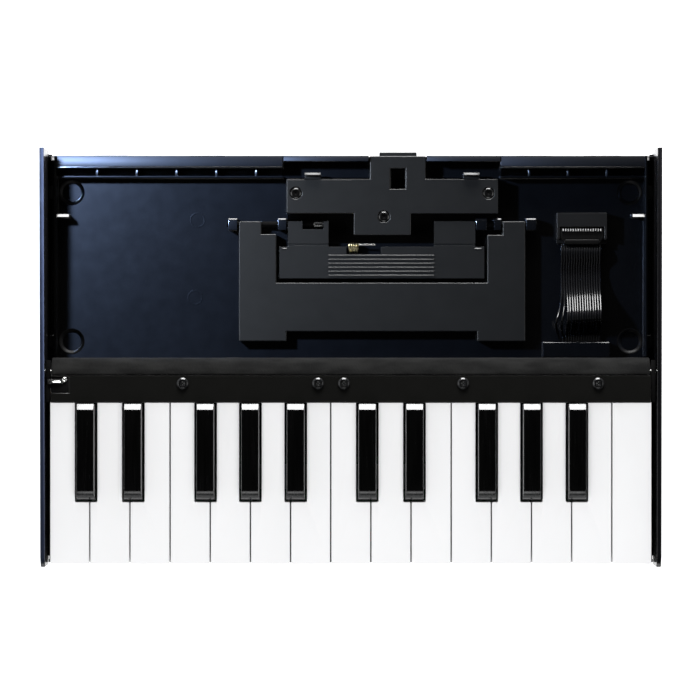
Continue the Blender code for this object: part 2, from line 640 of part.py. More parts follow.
def build_latch():
    """Sliding latch under the bracket's rear tab, with a lip behind the case."""
    profile = [(80.0, 9.5), (101.3, 9.5), (101.3, 6.5), (103.1, 6.5), (103.1, 11.0), (80.0, 11.0)]
    bm = bmesh.new()
    add_prism(bm, profile, "x", LATCH_X)
    latch = make_object("module_latch", bm, "stand_plastic", (23.7, 80.0, 9.5))
    bm = bmesh.new()
    add_block(bm, (20.2, 27.2), (83.8, 97.2), (9.0, 12.0))
    combine(latch, "DIFFERENCE", bm)


# ---------------------------------------------------------------- screws, clip and cable

def build_screw(name, place, seat, head_radius, head_height, low):
    """A pan-head screw that sits on a seat height and reaches down to low."""
    profile = [(1.2, low), (1.2, seat), (head_radius, seat), (head_radius, seat + 0.55 * head_height),
               (0.6 * head_radius, seat + head_height)]
    bm = bmesh.new()
    add_turned(bm, place, profile)
    make_object(name, bm, "black_screw", smooth=True)


def build_fasteners():
    """Five cover screws, three bracket screws and the spring clip at the left end."""
    for number, x in enumerate(COVER_SCREW_X, start=1):
        build_screw(f"cover_screw_{number}", (x, COVER_SCREW_Y), COVER_TOP + GAP, 2.9, 1.1, 21.6)
    for side, place in BRACKET_SCREWS.items():
        build_screw(f"bracket_screw_{side}", place, 12.1, 2.6, 0.7, 5.2)
    low, high = CLIP_POCKET_FLOOR + GAP, CLIP_POCKET_FLOOR + GAP + 0.6
    profile = [(-150.9, 22.4), (-150.1, 22.4), (-150.1, low), (-143.0, low), (-143.0, high), (-150.9, high)]
    bm = bmesh.new()
    add_prism(bm, profile, "y", (-12.9, -10.8))
    make_object("side_clip", bm, "bright_steel")


def build_ribbon():
    """Flat cable from the main board through the hood to its parked plug."""
    half = 0.5 * RIBBON_THICKNESS
    points = [Vector(p) for p in RIBBON_ROUTE]
    upper, lower = [], []
    for i, point in enumerate(points):
        ahead = points[min(i + 1, len(points) - 1)] - points[max(i - 1, 0)]
        normal = Vector((-ahead.y, ahead.x)).normalized()
        upper.append(tuple(point + normal * half))
        lower.append(tuple(point - normal * half))
    bm = bmesh.new()
    low = [bm.verts.new((RIBBON_X[0], *p)) for p in upper + lower[::-1]]
    high = [bm.verts.new((RIBBON_X[1], *p)) for p in upper + lower[::-1]]
    bridge(bm, low, high)
    count = len(points)
    for ring in (low, high):
        for i in range(count - 1):
            bm.faces.new((ring[i], ring[i + 1], ring[2 * count - 2 - i], ring[2 * count - 1 - i]))
    make_object("ribbon_cable", bm, "ribbon")


def build_plug_and_holder():
    """The cable's plug, parked in a holder on the tray floor."""
    bm = bmesh.new()
    add_block(bm, (103.5, 128.7), (57.5, 72.7), (FLOOR_TOP + GAP, 6.0))
    holder = make_object("ribbon_holder", bm, "plug_plastic")
    bm = bmesh.new()
    add_prism(bm, [(103.5, 59.5), (104.9, 59.5), (104.9, 65.8), (127.3, 65.8), (127.3, 59.5), (128.7, 59.5),
                   (128.7, 72.7), (103.5, 72.7)], "z", (5.5, 10.6))
    combine(holder, "UNION", bm)
    bm = bmesh.new()
    add_prism(bm, [(105.3, 60.0), (107.5, 57.1), (124.7, 57.1), (126.9, 60.0), (126.9, 65.4), (105.3, 65.4)],
              "z", (6.3, 10.2))
    make_object("ribbon_plug", bm, "plug_plastic")


# ---------------------------------------------------------------- assembly

def main():
    """Clear the scene and build every piece."""
    for obj in list(bpy.data.objects):
        bpy.data.objects.remove(obj)
    build_side_panels()
    build_bottom_case()
    build_feet()
    build_key_chassis()
    build_key_rod()
    build_boards()
    build_contact_rubber(build_keys())
    build_rear_cover()
    build_cloth_strip()
    build_stand_outer()
    build_stand_inner()
    build_stand_pins()
    build_springs()
    build_bracket()
    build_latch()
    build_fasteners()
    build_ribbon()
    build_plug_and_holder()


main()
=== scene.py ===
"""Looks of a slim keyboard dock for a desktop synthesizer module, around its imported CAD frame.

Sizes are metres in the frame's own places. CAD nodes with the right shape get rounded edges
and a material; keys, screws, springs, cloth, cable and plug are new pieces.
"""
import math

import bmesh
import bpy
import numpy as np
from mathutils import Matrix, Vector, noise


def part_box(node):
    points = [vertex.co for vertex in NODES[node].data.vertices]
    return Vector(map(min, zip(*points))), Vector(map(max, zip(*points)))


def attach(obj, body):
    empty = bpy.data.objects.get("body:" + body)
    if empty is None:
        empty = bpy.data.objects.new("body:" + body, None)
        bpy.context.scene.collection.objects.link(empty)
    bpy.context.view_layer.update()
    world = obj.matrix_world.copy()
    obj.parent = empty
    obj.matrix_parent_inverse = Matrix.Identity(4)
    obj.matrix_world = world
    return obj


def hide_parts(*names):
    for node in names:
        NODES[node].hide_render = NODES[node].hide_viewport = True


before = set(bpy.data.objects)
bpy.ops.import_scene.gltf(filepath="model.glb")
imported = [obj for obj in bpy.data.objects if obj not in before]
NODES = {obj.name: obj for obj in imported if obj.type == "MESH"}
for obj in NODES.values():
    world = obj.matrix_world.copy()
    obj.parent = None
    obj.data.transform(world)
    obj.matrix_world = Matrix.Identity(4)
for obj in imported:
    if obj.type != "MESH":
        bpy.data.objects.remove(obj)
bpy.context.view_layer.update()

MM = 0.001
NOTES = "cdefgab"
SHARP_NOTES = "cdfga"
PIVOT_Y, PIVOT_Z = -7.0 * MM, 17.5 * MM
HINGE_Y, HINGE_Z = 67.0 * MM, 8.0 * MM
CAMERA_PLACE = (-0.4 * MM, 3.8 * MM, 1.682)
FOCAL_LENGTH = 171.2
CASE_UNDERSIDE = 2.0 * MM
TRAY_FLOOR = 4.5 * MM
REAR_WALL = 101.1 * MM
PANEL_FACE = 154.5 * MM
PANEL_SCREW_HEIGHT = 9.0 * MM
CUP_CENTRES = [(x * MM, y * MM) for x in (-140.6, 140.6) for y in (8.2, 83.2)]
ROD_HOLE = 1.6 * MM
KEY_SHOULDER = 24.2 * MM


# ---------------------------------------------------------------- camera, light and floor

def build_camera():
    """A long lens straight above the middle of the object."""
    data = bpy.data.cameras.new("camera")
    data.lens = FOCAL_LENGTH
    data.sensor_width = 36.0
    data.clip_start = 0.05
    camera = bpy.data.objects.new("camera", data)
    camera.location = CAMERA_PLACE
    bpy.context.scene.collection.objects.link(camera)
    bpy.context.scene.camera = camera


def build_light(name, place, target, size, radiance, colour=(1.0, 1.0, 1.0)):
    """A soft rectangular light of a given brightness that looks at a point."""
    data = bpy.data.lights.new(name, "AREA")
    data.shape = "RECTANGLE"
    data.size, data.size_y = size
    data.energy = radiance * math.pi * size[0] * size[1]
    data.color = colour
    light = bpy.data.objects.new(name, data)
    light.location = place
    aim = Vector(target) - Vector(place)
    light.rotation_euler = aim.to_track_quat("-Z", "Y").to_euler()
    light.visible_camera = False
    bpy.context.scene.collection.objects.link(light)
    return light


def build_world():
    """A dim studio: dark overhead, paler towards the horizon behind the object and on its left."""
    world = bpy.data.worlds.new("studio")
    bpy.context.scene.world = world
    world.use_nodes = True
    tree = world.node_tree
    new, link = tree.nodes.new, tree.links.new
    background = tree.nodes["Background"]
    coordinates = new("ShaderNodeTexCoord")
    split = new("ShaderNodeSeparateXYZ")
    ramp = new("ShaderNodeValToRGB")
    ramp.color_ramp.elements[0].position = 0.15
    ramp.color_ramp.elements[0].color = (0.90, 0.92, 0.96, 1.0)
    ramp.color_ramp.elements[1].position = 0.80
    ramp.color_ramp.elements[1].color = (0.012, 0.012, 0.014, 1.0)
    side = new("ShaderNodeVectorMath")
    side.operation = "DOT_PRODUCT"
    side.inputs[1].default_value = (-0.35, 0.30, 0.0)
    level = new("ShaderNodeMath")
    level.operation = "ADD"
    level.inputs[1].default_value = 0.65
    link(coordinates.outputs["Generated"], split.inputs[0])
    link(coordinates.outputs["Generated"], side.inputs[0])
    link(side.outputs["Value"], level.inputs[0])
    link(split.outputs["Z"], ramp.inputs[0])
    link(ramp.outputs[0], background.inputs[0])
    link(level.outputs[0], background.inputs[1])


def build_stage():
    """Plain pale floor that glows a little, so that the object throws almost no shadow."""
    material = bpy.data.materials.new("stage_floor")
    material.use_nodes = True
    shader = material.node_tree.nodes["Principled BSDF"]
    shader.inputs["Base Color"].default_value = (0.80, 0.80, 0.80, 1.0)
    shader.inputs["Roughness"].default_value = 0.9
    shader.inputs["Emission Color"].default_value = (1.0, 1.0, 1.0, 1.0)
    shader.inputs["Emission Strength"].default_value = 1.0
    bm = bmesh.new()
    bmesh.ops.create_grid(bm, x_segments=1, y_segments=1, size=6.0)
    floor = link_mesh("stage_floor", bm, material)


def light_only(light, pieces, included):
    """Make a light fall only on some pieces, or on everything else."""
    group = bpy.data.collections.new(f"{light.name}_pieces")
    for piece in pieces:
        group.objects.link(piece)
    for member in group.collection_objects:
        member.light_linking.link_state = "INCLUDE" if included else "EXCLUDE"
    light.light_linking.receiver_collection = group


def build_lights(white_keys, ribbon):
    """A low strip behind, two bluish lights, three dim fills, and a broad light on the white keys.

    Most of them fall only on some pieces.
    """
    rear = build_light("rear_strip", (0.0, 1.22, 0.46), (0.0, 0.0, 0.0), (0.9, 0.42), 30.0)
    left = build_light("left_softbox", (-0.332, 0.17, 0.52), (-0.10, 0.05, 0.0), (0.10, 0.10),
                       118.0, (0.74, 0.84, 1.0))
    stand = ("module_bracket", "module_latch", "stand_outer", "stand_inner", "ribbon_holder")
    light_only(left, [NODES[name] for name in stand], True)
    case = build_light("case_softbox", (-0.252, 0.180, 0.26), (-0.14, 0.05, 0.0), (0.03, 0.03),
                       4400.0, (0.41, 0.58, 1.0))
    shell = [NODES[name] for name in ("bottom_case", "side_panel_left")]
    details = [bpy.data.objects[name] for name in ("rim_bead", "rim_cap", "tray_rings", "channel_ribs")]
    light_only(case, shell + details, True)
    light_only(rear, white_keys, False)
    fills = (("left_fill", (-1.3, -0.1, 0.75), 2.6), ("right_fill", (1.3, -0.1, 0.75), 2.6),
             ("front_fill", (0.0, -1.3, 0.80), 3.0))
    for name, place, radiance in fills:
        fill = build_light(name, place, (0.0, 0.0, 0.0), (0.9, 0.4), radiance)
        light_only(fill, white_keys + [ribbon], False)
    top = build_light("key_light", (0.0, -0.35, 1.5), (0.0, -0.05, 0.0), (1.6, 1.6), 3.12)
    light_only(top, white_keys, True)


def build_studio():
    """Everything around the object but the lights."""
    build_camera()
    build_world()
    build_stage()
    bpy.context.scene.view_settings.view_transform = "Standard"


# ---------------------------------------------------------------- materials

class Shader:
    """A small helper that grows a Principled material node by node."""

    def __init__(self, name, colour, roughness, metallic=0.0):
        self.material = bpy.data.materials.new(name)
        self.material.use_nodes = True
        self.tree = self.material.node_tree
        self.shader = self.tree.nodes["Principled BSDF"]
        self.shader.inputs["Base Color"].default_value = (*colour, 1.0)
        self.shader.inputs["Roughness"].default_value = roughness
        self.shader.inputs["Metallic"].default_value = metallic
        self.colour = colour
        self.roughness = roughness
        self.place = self.tree.nodes.new("ShaderNodeTexCoord").outputs["Object"]

    def node(self, kind, **inputs):
        """Add a node and set or link its inputs by name."""
        made = self.tree.nodes.new(kind)
        for key, value in inputs.items():
            socket = made.inputs[key.replace("_", " ")]
            if isinstance(value, bpy.types.NodeSocket):
                self.tree.links.new(value, socket)
            else:
                socket.default_value = value
        return made

    def stretched(self, scale):
        """Object coordinates, scaled by axis."""
        mapping = self.node("ShaderNodeMapping", Vector=self.place)
        mapping.inputs["Scale"].default_value = scale
        return mapping.outputs["Vector"]

    def noise(self, scale, detail=3.0, vector=None):
        """Grey noise from 0 to 1 with features about 1/scale metres wide."""
        made = self.node("ShaderNodeTexNoise", Vector=vector or self.place, Scale=scale, Detail=detail)
        return made.outputs["Fac"]

    def ramp(self, value, low, high, low_colour, high_colour):
        """Map a grey value onto a run between two colours."""
        made = self.node("ShaderNodeValToRGB", Fac=value)
        made.color_ramp.elements[0].position = low
        made.color_ramp.elements[0].color = (*low_colour, 1.0)
        made.color_ramp.elements[1].position = high
        made.color_ramp.elements[1].color = (*high_colour, 1.0)
        return made.outputs["Color"]

    def range(self, value, low, high, to_low, to_high):
        """Map a grey value linearly and clamp it."""
        made = self.node("ShaderNodeMapRange", Value=value, From_Min=low, From_Max=high,
                         To_Min=to_low, To_Max=to_high)
        return made.outputs["Result"]

    def vary_colour(self, value, spread, low=0.35, high=0.65):
        """Let the colour drift by a share of itself with a grey value."""
        darker = tuple(c * (1.0 - spread) for c in self.colour)
        lighter = tuple(min(1.0, c * (1.0 + spread)) for c in self.colour)
        self.tree.links.new(self.ramp(value, low, high, darker, lighter), self.shader.inputs["Base Color"])

    def vary_roughness(self, value, spread):
        """Let the roughness drift by an amount with a grey value."""
        linked = self.range(value, 0.3, 0.7, self.roughness - spread, self.roughness + spread)
        self.tree.links.new(linked, self.shader.inputs["Roughness"])

    def wear(self, colour, low=0.53, high=0.60):
        """Show a paler colour along sharp outer edges, over what is there already."""
        geometry = self.tree.nodes.new("ShaderNodeNewGeometry")
        edge = self.range(geometry.outputs["Pointiness"], low, high, 0.0, 1.0)
        mix = self.tree.nodes.new("ShaderNodeMix")
        mix.data_type = "RGBA"
        base = self.shader.inputs["Base Color"]
        if base.is_linked:
            self.tree.links.new(base.links[0].from_socket, mix.inputs["A"])
        else:
            mix.inputs["A"].default_value = base.default_value
        mix.inputs["B"].default_value = (*colour, 1.0)
        self.tree.links.new(edge, mix.inputs["Factor"])
        self.tree.links.new(mix.outputs["Result"], base)

    def bump(self, height, strength, distance):
        """Raise the surface by a grey value; several calls stack."""
        made = self.node("ShaderNodeBump", Height=height, Strength=strength, Distance=distance)
        normal = self.shader.inputs["Normal"]
        if normal.is_linked:
            self.tree.links.new(normal.links[0].from_socket, made.inputs["Normal"])
        self.tree.links.new(made.outputs["Normal"], normal)


def moulded(name, colour, roughness, grain=1400.0, depth=0.02, spread=0.12):
    """Spark-eroded moulded plastic: fine grain, faint flow clouds and handling marks."""
    made = Shader(name, colour, roughness)
    made.vary_colour(made.noise(28.0, 4.0), spread)
    made.vary_roughness(made.noise(160.0, 6.0), 0.008)
    made.bump(made.noise(grain, 2.0), depth, 0.1 * MM)
    return made.material


def glossy_key(name, colour, roughness, coat):
    """Polished key plastic with hairline wiping marks along the key."""
    made = Shader(name, colour, roughness)
    marks = made.noise(900.0, 3.0, made.stretched((1.0, 0.06, 1.0)))
    made.vary_roughness(marks, 0.04)
    made.vary_colour(made.noise(22.0, 3.0), 0.012 if colour[0] > 0.5 else 0.2)
    made.bump(marks, 0.012, 0.05 * MM)
    made.shader.inputs["Coat Weight"].default_value = coat
    made.shader.inputs["Coat Roughness"].default_value = 0.06
    made.shader.inputs["Subsurface Weight"].default_value = 0.04 if colour[0] > 0.5 else 0.0
    made.shader.inputs["Subsurface Radius"].default_value = (0.001, 0.0009, 0.0008)
    return made.material


def painted_metal(name, colour, roughness):
    """Fine powder paint on sheet metal, a little paler where its edges are rubbed."""
    made = Shader(name, colour, roughness)
    made.vary_colour(made.noise(40.0, 4.0), 0.15)
    made.vary_roughness(made.noise(120.0, 4.0), 0.05)
    made.bump(made.noise(2600.0, 2.0), 0.05, 0.05 * MM)
    made.wear((0.03, 0.03, 0.035), 0.54, 0.66)
    return made.material


def bare_metal(name, colour, roughness, scale=(1.0, 1.0, 1.0)):
    """Bright metal with drawing marks."""
    made = Shader(name, colour, roughness, 1.0)
    marks = made.noise(2200.0, 3.0, made.stretched(scale))
    made.vary_roughness(marks, 0.08)
    made.vary_colour(made.noise(300.0, 3.0), 0.08)
    made.bump(marks, 0.04, 0.03 * MM)
    return made.material


def woven(name, colour):
    """Plain-woven dust cloth: crossed threads about 0.45 mm apart, with lint and a soft sheen."""
    made = Shader(name, colour, 0.95)
    across = made.node("ShaderNodeTexWave", Vector=made.place, Scale=350.0, Distortion=0.6)
    across.bands_direction = "X"
    along = made.node("ShaderNodeTexWave", Vector=made.place, Scale=350.0, Distortion=0.6)
    along.bands_direction = "DIAGONAL"
    weave = made.node("ShaderNodeMath", Value=across.outputs["Fac"])
    weave.operation = "MULTIPLY"
    made.tree.links.new(along.outputs["Fac"], weave.inputs[1])
    lint = made.noise(190.0, 6.0, made.stretched((0.35, 1.0, 1.0)))
    made.vary_colour(lint, 0.55, 0.38, 0.62)
    made.bump(weave.outputs[0], 0.5, 0.12 * MM)
    made.bump(lint, 0.35, 0.25 * MM)
    made.shader.inputs["Specular IOR Level"].default_value = 0.2
    made.shader.inputs["Sheen Weight"].default_value = 0.02
    made.shader.inputs["Sheen Roughness"].default_value = 0.5
    return made.material


def circuit(name, colour):
    """Solder mask over copper areas."""
    made = Shader(name, colour, 0.35)
    cells = made.node("ShaderNodeTexVoronoi", Vector=made.place, Scale=260.0)
    cells.distance = "CHEBYCHEV"
    made.vary_colour(cells.outputs["Distance"], 0.35, 0.2, 0.5)
    made.bump(cells.outputs["Distance"], 0.1, 0.05 * MM)
    return made.material


MATERIALS = {
    "case_plastic": moulded("case_plastic", (0.0005, 0.0005, 0.0005), 0.225, 1400.0, 0.012, 0.2),
    "cover_plastic": moulded("cover_plastic", (0.0030, 0.0029, 0.0023), 0.36, 1100.0, 0.03),
    "stand_plastic": moulded("stand_plastic", (0.0030, 0.0032, 0.0034), 0.37, 1500.0, 0.03, 0.1),
    "plug_plastic": moulded("plug_plastic", (0.0030, 0.0030, 0.0032), 0.36),
    "chassis_plastic": moulded("chassis_plastic", (0.012, 0.012, 0.012), 0.60),
    "panel_metal": painted_metal("panel_metal", (0.0014, 0.0014, 0.0016), 0.19),
    "white_key": glossy_key("white_key", (0.86, 0.86, 0.865), 0.22, 0.3),
    "black_key": glossy_key("black_key", (0.0005, 0.0005, 0.0005), 0.24, 0.1),
    "cloth": woven("cloth", (0.0056, 0.0056, 0.0054)),
    "felt": woven("felt", (0.16, 0.03, 0.03)),
    "bright_steel": bare_metal("bright_steel", (0.72, 0.72, 0.70), 0.24),
    "black_screw": moulded("black_screw", (0.0040, 0.0040, 0.0042), 0.20, 1600.0, 0.02),
    "brass": bare_metal("brass", (0.50, 0.45, 0.28), 0.30),
    "circuit_board": circuit("circuit_board", (0.008, 0.050, 0.020)),
    "rubber": moulded("rubber", (0.018, 0.018, 0.018), 0.80, 900.0, 0.10),
    "dome_rubber": moulded("dome_rubber", (0.30, 0.31, 0.31), 0.75, 900.0, 0.05),
    "ribbon": moulded("ribbon", (0.0022, 0.0023, 0.0030), 0.16, 700.0, 0.02),
}


# Matt near-black: the stand pins' oxide, the plug and the clip pocket's floor, and painted shade in the gaps
# at the cover's ends, under the bracket and on the channel floor.
OXIDE_AND_SHADE = moulded("oxide_steel_and_shade", (0.0022, 0.0022, 0.0024), 0.85, 1500.0, 0.05)
TIN = bare_metal("dull_tin", (0.05, 0.05, 0.05), 0.36)
RIM = moulded("rim_plastic", (0.0010, 0.0010, 0.0011), 0.47, 1400.0, 0.02)
for dull, specular in ((OXIDE_AND_SHADE, 0.12), (RIM, 0.20)):
    dull.node_tree.nodes["Principled BSDF"].inputs["Specular IOR Level"].default_value = specular


# ---------------------------------------------------------------- mesh helpers

def link_mesh(name, bm, material, smooth_below=None):
    """Turn a bmesh into a linked object; smooth_below is the angle under which edges are smooth."""
    mesh = bpy.data.meshes.new(name)
    bm.to_mesh(mesh)
    bm.free()
    if smooth_below is not None:
        mesh.shade_smooth()
        mesh.set_sharp_from_angle(angle=math.radians(smooth_below))
    mesh.materials.append(material)
    obj = bpy.data.objects.new(name, mesh)
    bpy.context.scene.collection.objects.link(obj)
    return obj


def add_piece(name, bm, slot, body="base", replaces=(), smooth_below=40.0, look=None):
    """Link a piece, let it ride on a body and hide the nodes it stands for.

    It gets the material of its slot, or look where that is given.
    """
    bmesh.ops.recalc_face_normals(bm, faces=bm.faces)
    obj = link_mesh(name, bm, look or MATERIALS[slot], smooth_below)
    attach(obj, body)
    if replaces:
        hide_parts(*replaces)
    return obj


def mm(*values):
    """Millimetres to metres."""
    return tuple(value * MM for value in values)


def scaled(*points):
    """A list of points given in millimetres."""
    return [mm(*point) for point in points]


def rectangle(x, y):
    """The outline between the (low, high) pairs x and y, counter-clockwise."""
    return [(x[0], y[0]), (x[1], y[0]), (x[1], y[1]), (x[0], y[1])]


def placed(axis, u, v, w):
    """A point with w along the axis and (u, v) across it: yz for x, xz for y, xy for z."""
    return {"x": (w, u, v), "y": (u, w, v), "z": (u, v, w)}[axis]


def add_prism(bm, outline, axis, span):
    """Extrude a closed outline of (u, v) points along an axis; returns its faces."""
    low = [bm.verts.new(placed(axis, u, v, span[0])) for u, v in outline]
    high = [bm.verts.new(placed(axis, u, v, span[1])) for u, v in outline]
    faces = [bm.faces.new(low), bm.faces.new(high)]
    faces += bridge(bm, low, high)
    bmesh.ops.recalc_face_normals(bm, faces=faces)
    return faces


def add_block(bm, x, y, z):
    """Add a box between the (low, high) pairs x, y and z."""
    return add_prism(bm, rectangle(x, y), "z", z)


def bridge(bm, ring_a, ring_b, closed=True):
    """Join two rings of the same length with quads."""
    count = len(ring_a)
    faces = []
    for i in range(count if closed else count - 1):
        j = (i + 1) % count
        faces.append(bm.faces.new((ring_a[i], ring_a[j], ring_b[j], ring_b[i])))
    return faces


def circle(centre, radius, sides):
    """Points of a regular polygon."""
    turn = [2.0 * math.pi * (k + 0.5) / sides for k in range(sides)]
    return [(centre[0] + radius * math.cos(a), centre[1] + radius * math.sin(a)) for a in turn]


def rounded(outline, radii, steps=4):
    """Replace the corners of an outline by arcs; radii is one number or one for each corner."""
    points = [Vector(p) for p in outline]
    if not hasattr(radii, "__len__"):
        radii = [radii] * len(points)
    made = []
    for i, corner in enumerate(points):
        before = (points[i - 1] - corner).normalized()
        after = (points[(i + 1) % len(points)] - corner).normalized()
        if radii[i] <= 0.0:
            made.append(tuple(corner))
            continue
        half = 0.5 * before.angle(after)
        reach = radii[i] / math.tan(half)
        centre = corner + (before + after).normalized() * (radii[i] / math.sin(half))
        start = corner + before * reach - centre
        end = corner + after * reach - centre
        turn = math.atan2(start.x * end.y - start.y * end.x, start.dot(end))
        for k in range(steps + 1):
            made.append(tuple(centre + Matrix.Rotation(turn * k / steps, 2) @ start))
    return made


def inset(outline, distance):
    """Move every side of a counter-clockwise outline inwards by a distance."""
    points = [Vector(p) for p in outline]
    moved = []
    for i, point in enumerate(points):
        before = (point - points[i - 1]).normalized()
        after = (points[(i + 1) % len(points)] - point).normalized()
        shift = Vector((-before.y, before.x)) + Vector((-after.y, after.x))
        shift /= 1.0 + before.dot(after)
        moved.append(tuple(point + shift * distance))
    return moved


def bevel_sharp(bm, width, segments=2, angle=30.0, choose=None):
    """Round the edges that are sharper than an angle, or those that choose picks."""
    limit = math.radians(angle)
    edges = [e for e in bm.edges if len(e.link_faces) == 2 and e.calc_face_angle(0.0) > limit]
    if choose:
        edges = [e for e in edges if choose(e)]
    bmesh.ops.bevel(bm, geom=edges, offset=width, offset_type="OFFSET", segments=segments, profile=0.5,
                    affect="EDGES", clamp_overlap=True)


def boolean(bm, operation, other):
    """Join or cut two bmeshes; returns the result as a new bmesh and frees both."""
    objects = []
    for source in (bm, other):
        bmesh.ops.recalc_face_normals(source, faces=source.faces)
        mesh = bpy.data.meshes.new("scratch")
        source.to_mesh(mesh)
        source.free()
        obj = bpy.data.objects.new("scratch", mesh)
        bpy.context.scene.collection.objects.link(obj)
        objects.append(obj)
    modifier = objects[0].modifiers.new("cut", "BOOLEAN")
    modifier.operation = operation
    modifier.solver = "EXACT"
    modifier.object = objects[1]
    result = bmesh.new()
    result.from_object(objects[0], bpy.context.evaluated_depsgraph_get())
    for obj in objects:
        mesh = obj.data
        bpy.data.objects.remove(obj)
        bpy.data.meshes.remove(mesh)
    return result


def add_turned(bm, centre, profile, sides=24):
    """Turn a profile of (radius, z) points about a vertical line; a radius of 0 closes to a point."""
    rings = []
    for radius, z in profile:
        if radius == 0.0:
            rings.append([bm.verts.new((centre[0], centre[1], z))])
        else:
            rings.append([bm.verts.new((x, y, z)) for x, y in circle(centre, radius, sides)])
    for ring_a, ring_b in zip(rings, rings[1:]):
        if len(ring_a) == 1 or len(ring_b) == 1:
            tip, ring = (ring_a[0], ring_b) if len(ring_a) == 1 else (ring_b[0], ring_a)
            for i in range(sides):
                bm.faces.new((ring[i], ring[(i + 1) % sides], tip))
        else:
            bridge(bm, ring_a, ring_b)
    for ring in (rings[0], rings[-1]):
        if len(ring) > 1:
            bm.faces.new(ring)


def add_ring(bm, centre, profile, sides):
    """A thin turned ring whose profile is an open line; it lies on the surface under it."""
    rings = [[bm.verts.new((x, y, z)) for x, y in circle(centre, radius, sides)] for radius, z in profile]
    for ring_a, ring_b in zip(rings, rings[1:]):
        bridge(bm, ring_a, ring_b)


def add_wedge(bm, x, y, z):
    """A small block whose whole top slopes down towards the rear."""
    add_prism(bm, [(y[0], z[0]), (y[1], z[0]), (y[1], z[1]), (y[0], z[1] + 0.7 * (y[1] - y[0]))], "x", x)


def turned_about_y(bm, side):
    """Turn a mesh that faces up so that it faces the left (-1) or the right (1)."""
    bmesh.ops.rotate(bm, verts=bm.verts, matrix=Matrix.Rotation(side * math.radians(90.0), 3, "Y"))


def join_into(bm, part):
    """Copy one bmesh into another and free it."""
    mesh = bpy.data.meshes.new("scratch")
    part.to_mesh(mesh)
    part.free()
    bm.from_mesh(mesh)
    bpy.data.meshes.remove(mesh)


def add_tube(bm, points, radius, sides=8):
    """A round tube along points, with closed ends."""
    rings = []
    for i, point in enumerate(points):
        ahead = (points[min(i + 1, len(points) - 1)] - points[max(i - 1, 0)]).normalized()
        side = ahead.cross(Vector((0.0, 0.0, 1.0)))
        if side.length < 0.2:
            side = ahead.cross(Vector((1.0, 0.0, 0.0)))
        side.normalize()
        up = side.cross(ahead)
        ring = []
        for k in range(sides):
            angle = 2.0 * math.pi * k / sides
            offset = side * (radius * math.cos(angle))
            ring.append(bm.verts.new(point + offset + up * (radius * math.sin(angle))))
        rings.append(ring)
    for ring_a, ring_b in zip(rings, rings[1:]):
        bridge(bm, ring_a, ring_b)
    bm.faces.new(rings[0])
    bm.faces.new(rings[-1])


def smooth_path(route, count):
    """A smooth open curve through points, as count points evenly along it."""
    points = [Vector(p) for p in route]
    dense = []
    for i in range(len(points) - 1):
        p0, p1 = points[max(i - 1, 0)], points[i]
        p2, p3 = points[i + 1], points[min(i + 2, len(points) - 1)]
        for k in range(24):
            t = k / 24.0
            dense.append(0.5 * (2.0 * p1 + (p2 - p0) * t + (2.0 * p0 - 5.0 * p1 + 4.0 * p2 - p3) * t * t
                                + (3.0 * p1 - p0 - 3.0 * p2 + p3) * t ** 3))
    dense.append(points[-1])
    lengths = [0.0]
    for a, b in zip(dense, dense[1:]):
        lengths.append(lengths[-1] + (b - a).length)
    made = []
    index = 0
    for k in range(count):
        target = lengths[-1] * k / (count - 1)
        while index < len(lengths) - 2 and lengths[index + 1] < target:
            index += 1
        share = (target - lengths[index]) / max(lengths[index + 1] - lengths[index], 1e-12)
        made.append(dense[index].lerp(dense[index + 1], min(max(share, 0.0), 1.0)))
    return made


# ---------------------------------------------------------------- CAD nodes that stay

def build_smoother():
    """Node group that smooths a mesh apart from its sharp edges."""
    group = bpy.data.node_groups.new("smooth_rounded", "GeometryNodeTree")
    group.interface.new_socket("Geometry", in_out="INPUT", socket_type="NodeSocketGeometry")
    group.interface.new_socket("Geometry", in_out="OUTPUT", socket_type="NodeSocketGeometry")
    new, link = group.nodes.new, group.links.new
    start = new("NodeGroupInput")
    end = new("NodeGroupOutput")
    faces = new("GeometryNodeSetShadeSmooth")
    edges = new("GeometryNodeSetShadeSmooth")
    edges.domain = "EDGE"
    edges.inputs["Shade Smooth"].default_value = False
    angle = new("GeometryNodeInputMeshEdgeAngle")
    sharp = new("FunctionNodeCompare")
    sharp.inputs[1].default_value = math.radians(38.0)
    link(start.outputs[0], faces.inputs["Geometry"])
    link(faces.outputs[0], edges.inputs["Geometry"])
    link(angle.outputs["Unsigned Angle"], sharp.inputs[0])
    link(sharp.outputs[0], edges.inputs["Selection"])
    link(edges.outputs[0], end.inputs[0])
    return group


SMOOTHER = build_smoother()


def refine(node, slot, width, segments):
    """Give a CAD node its material and finely rounded edges."""
    obj = NODES[node]
    obj.data.materials.clear()
    obj.data.materials.append(MATERIALS[slot])
    weld = obj.modifiers.new("weld", "WELD")
    weld.merge_threshold = 0.004 * MM
    flat = obj.modifiers.new("flat", "DECIMATE")
    flat.decimate_type = "DISSOLVE"
    flat.angle_limit = math.radians(1.0)
    if width > 0.0:
        bevel = obj.modifiers.new("bevel", "BEVEL")
        bevel.width = width
        bevel.segments = segments
        bevel.limit_method = "ANGLE"
        bevel.angle_limit = math.radians(40.0)
        bevel.use_clamp_overlap = node == "stand_inner"
    smooth = obj.modifiers.new("smooth", "NODES")
    smooth.node_group = SMOOTHER
    even = obj.modifiers.new("even", "WEIGHTED_NORMAL")
    even.keep_sharp = True


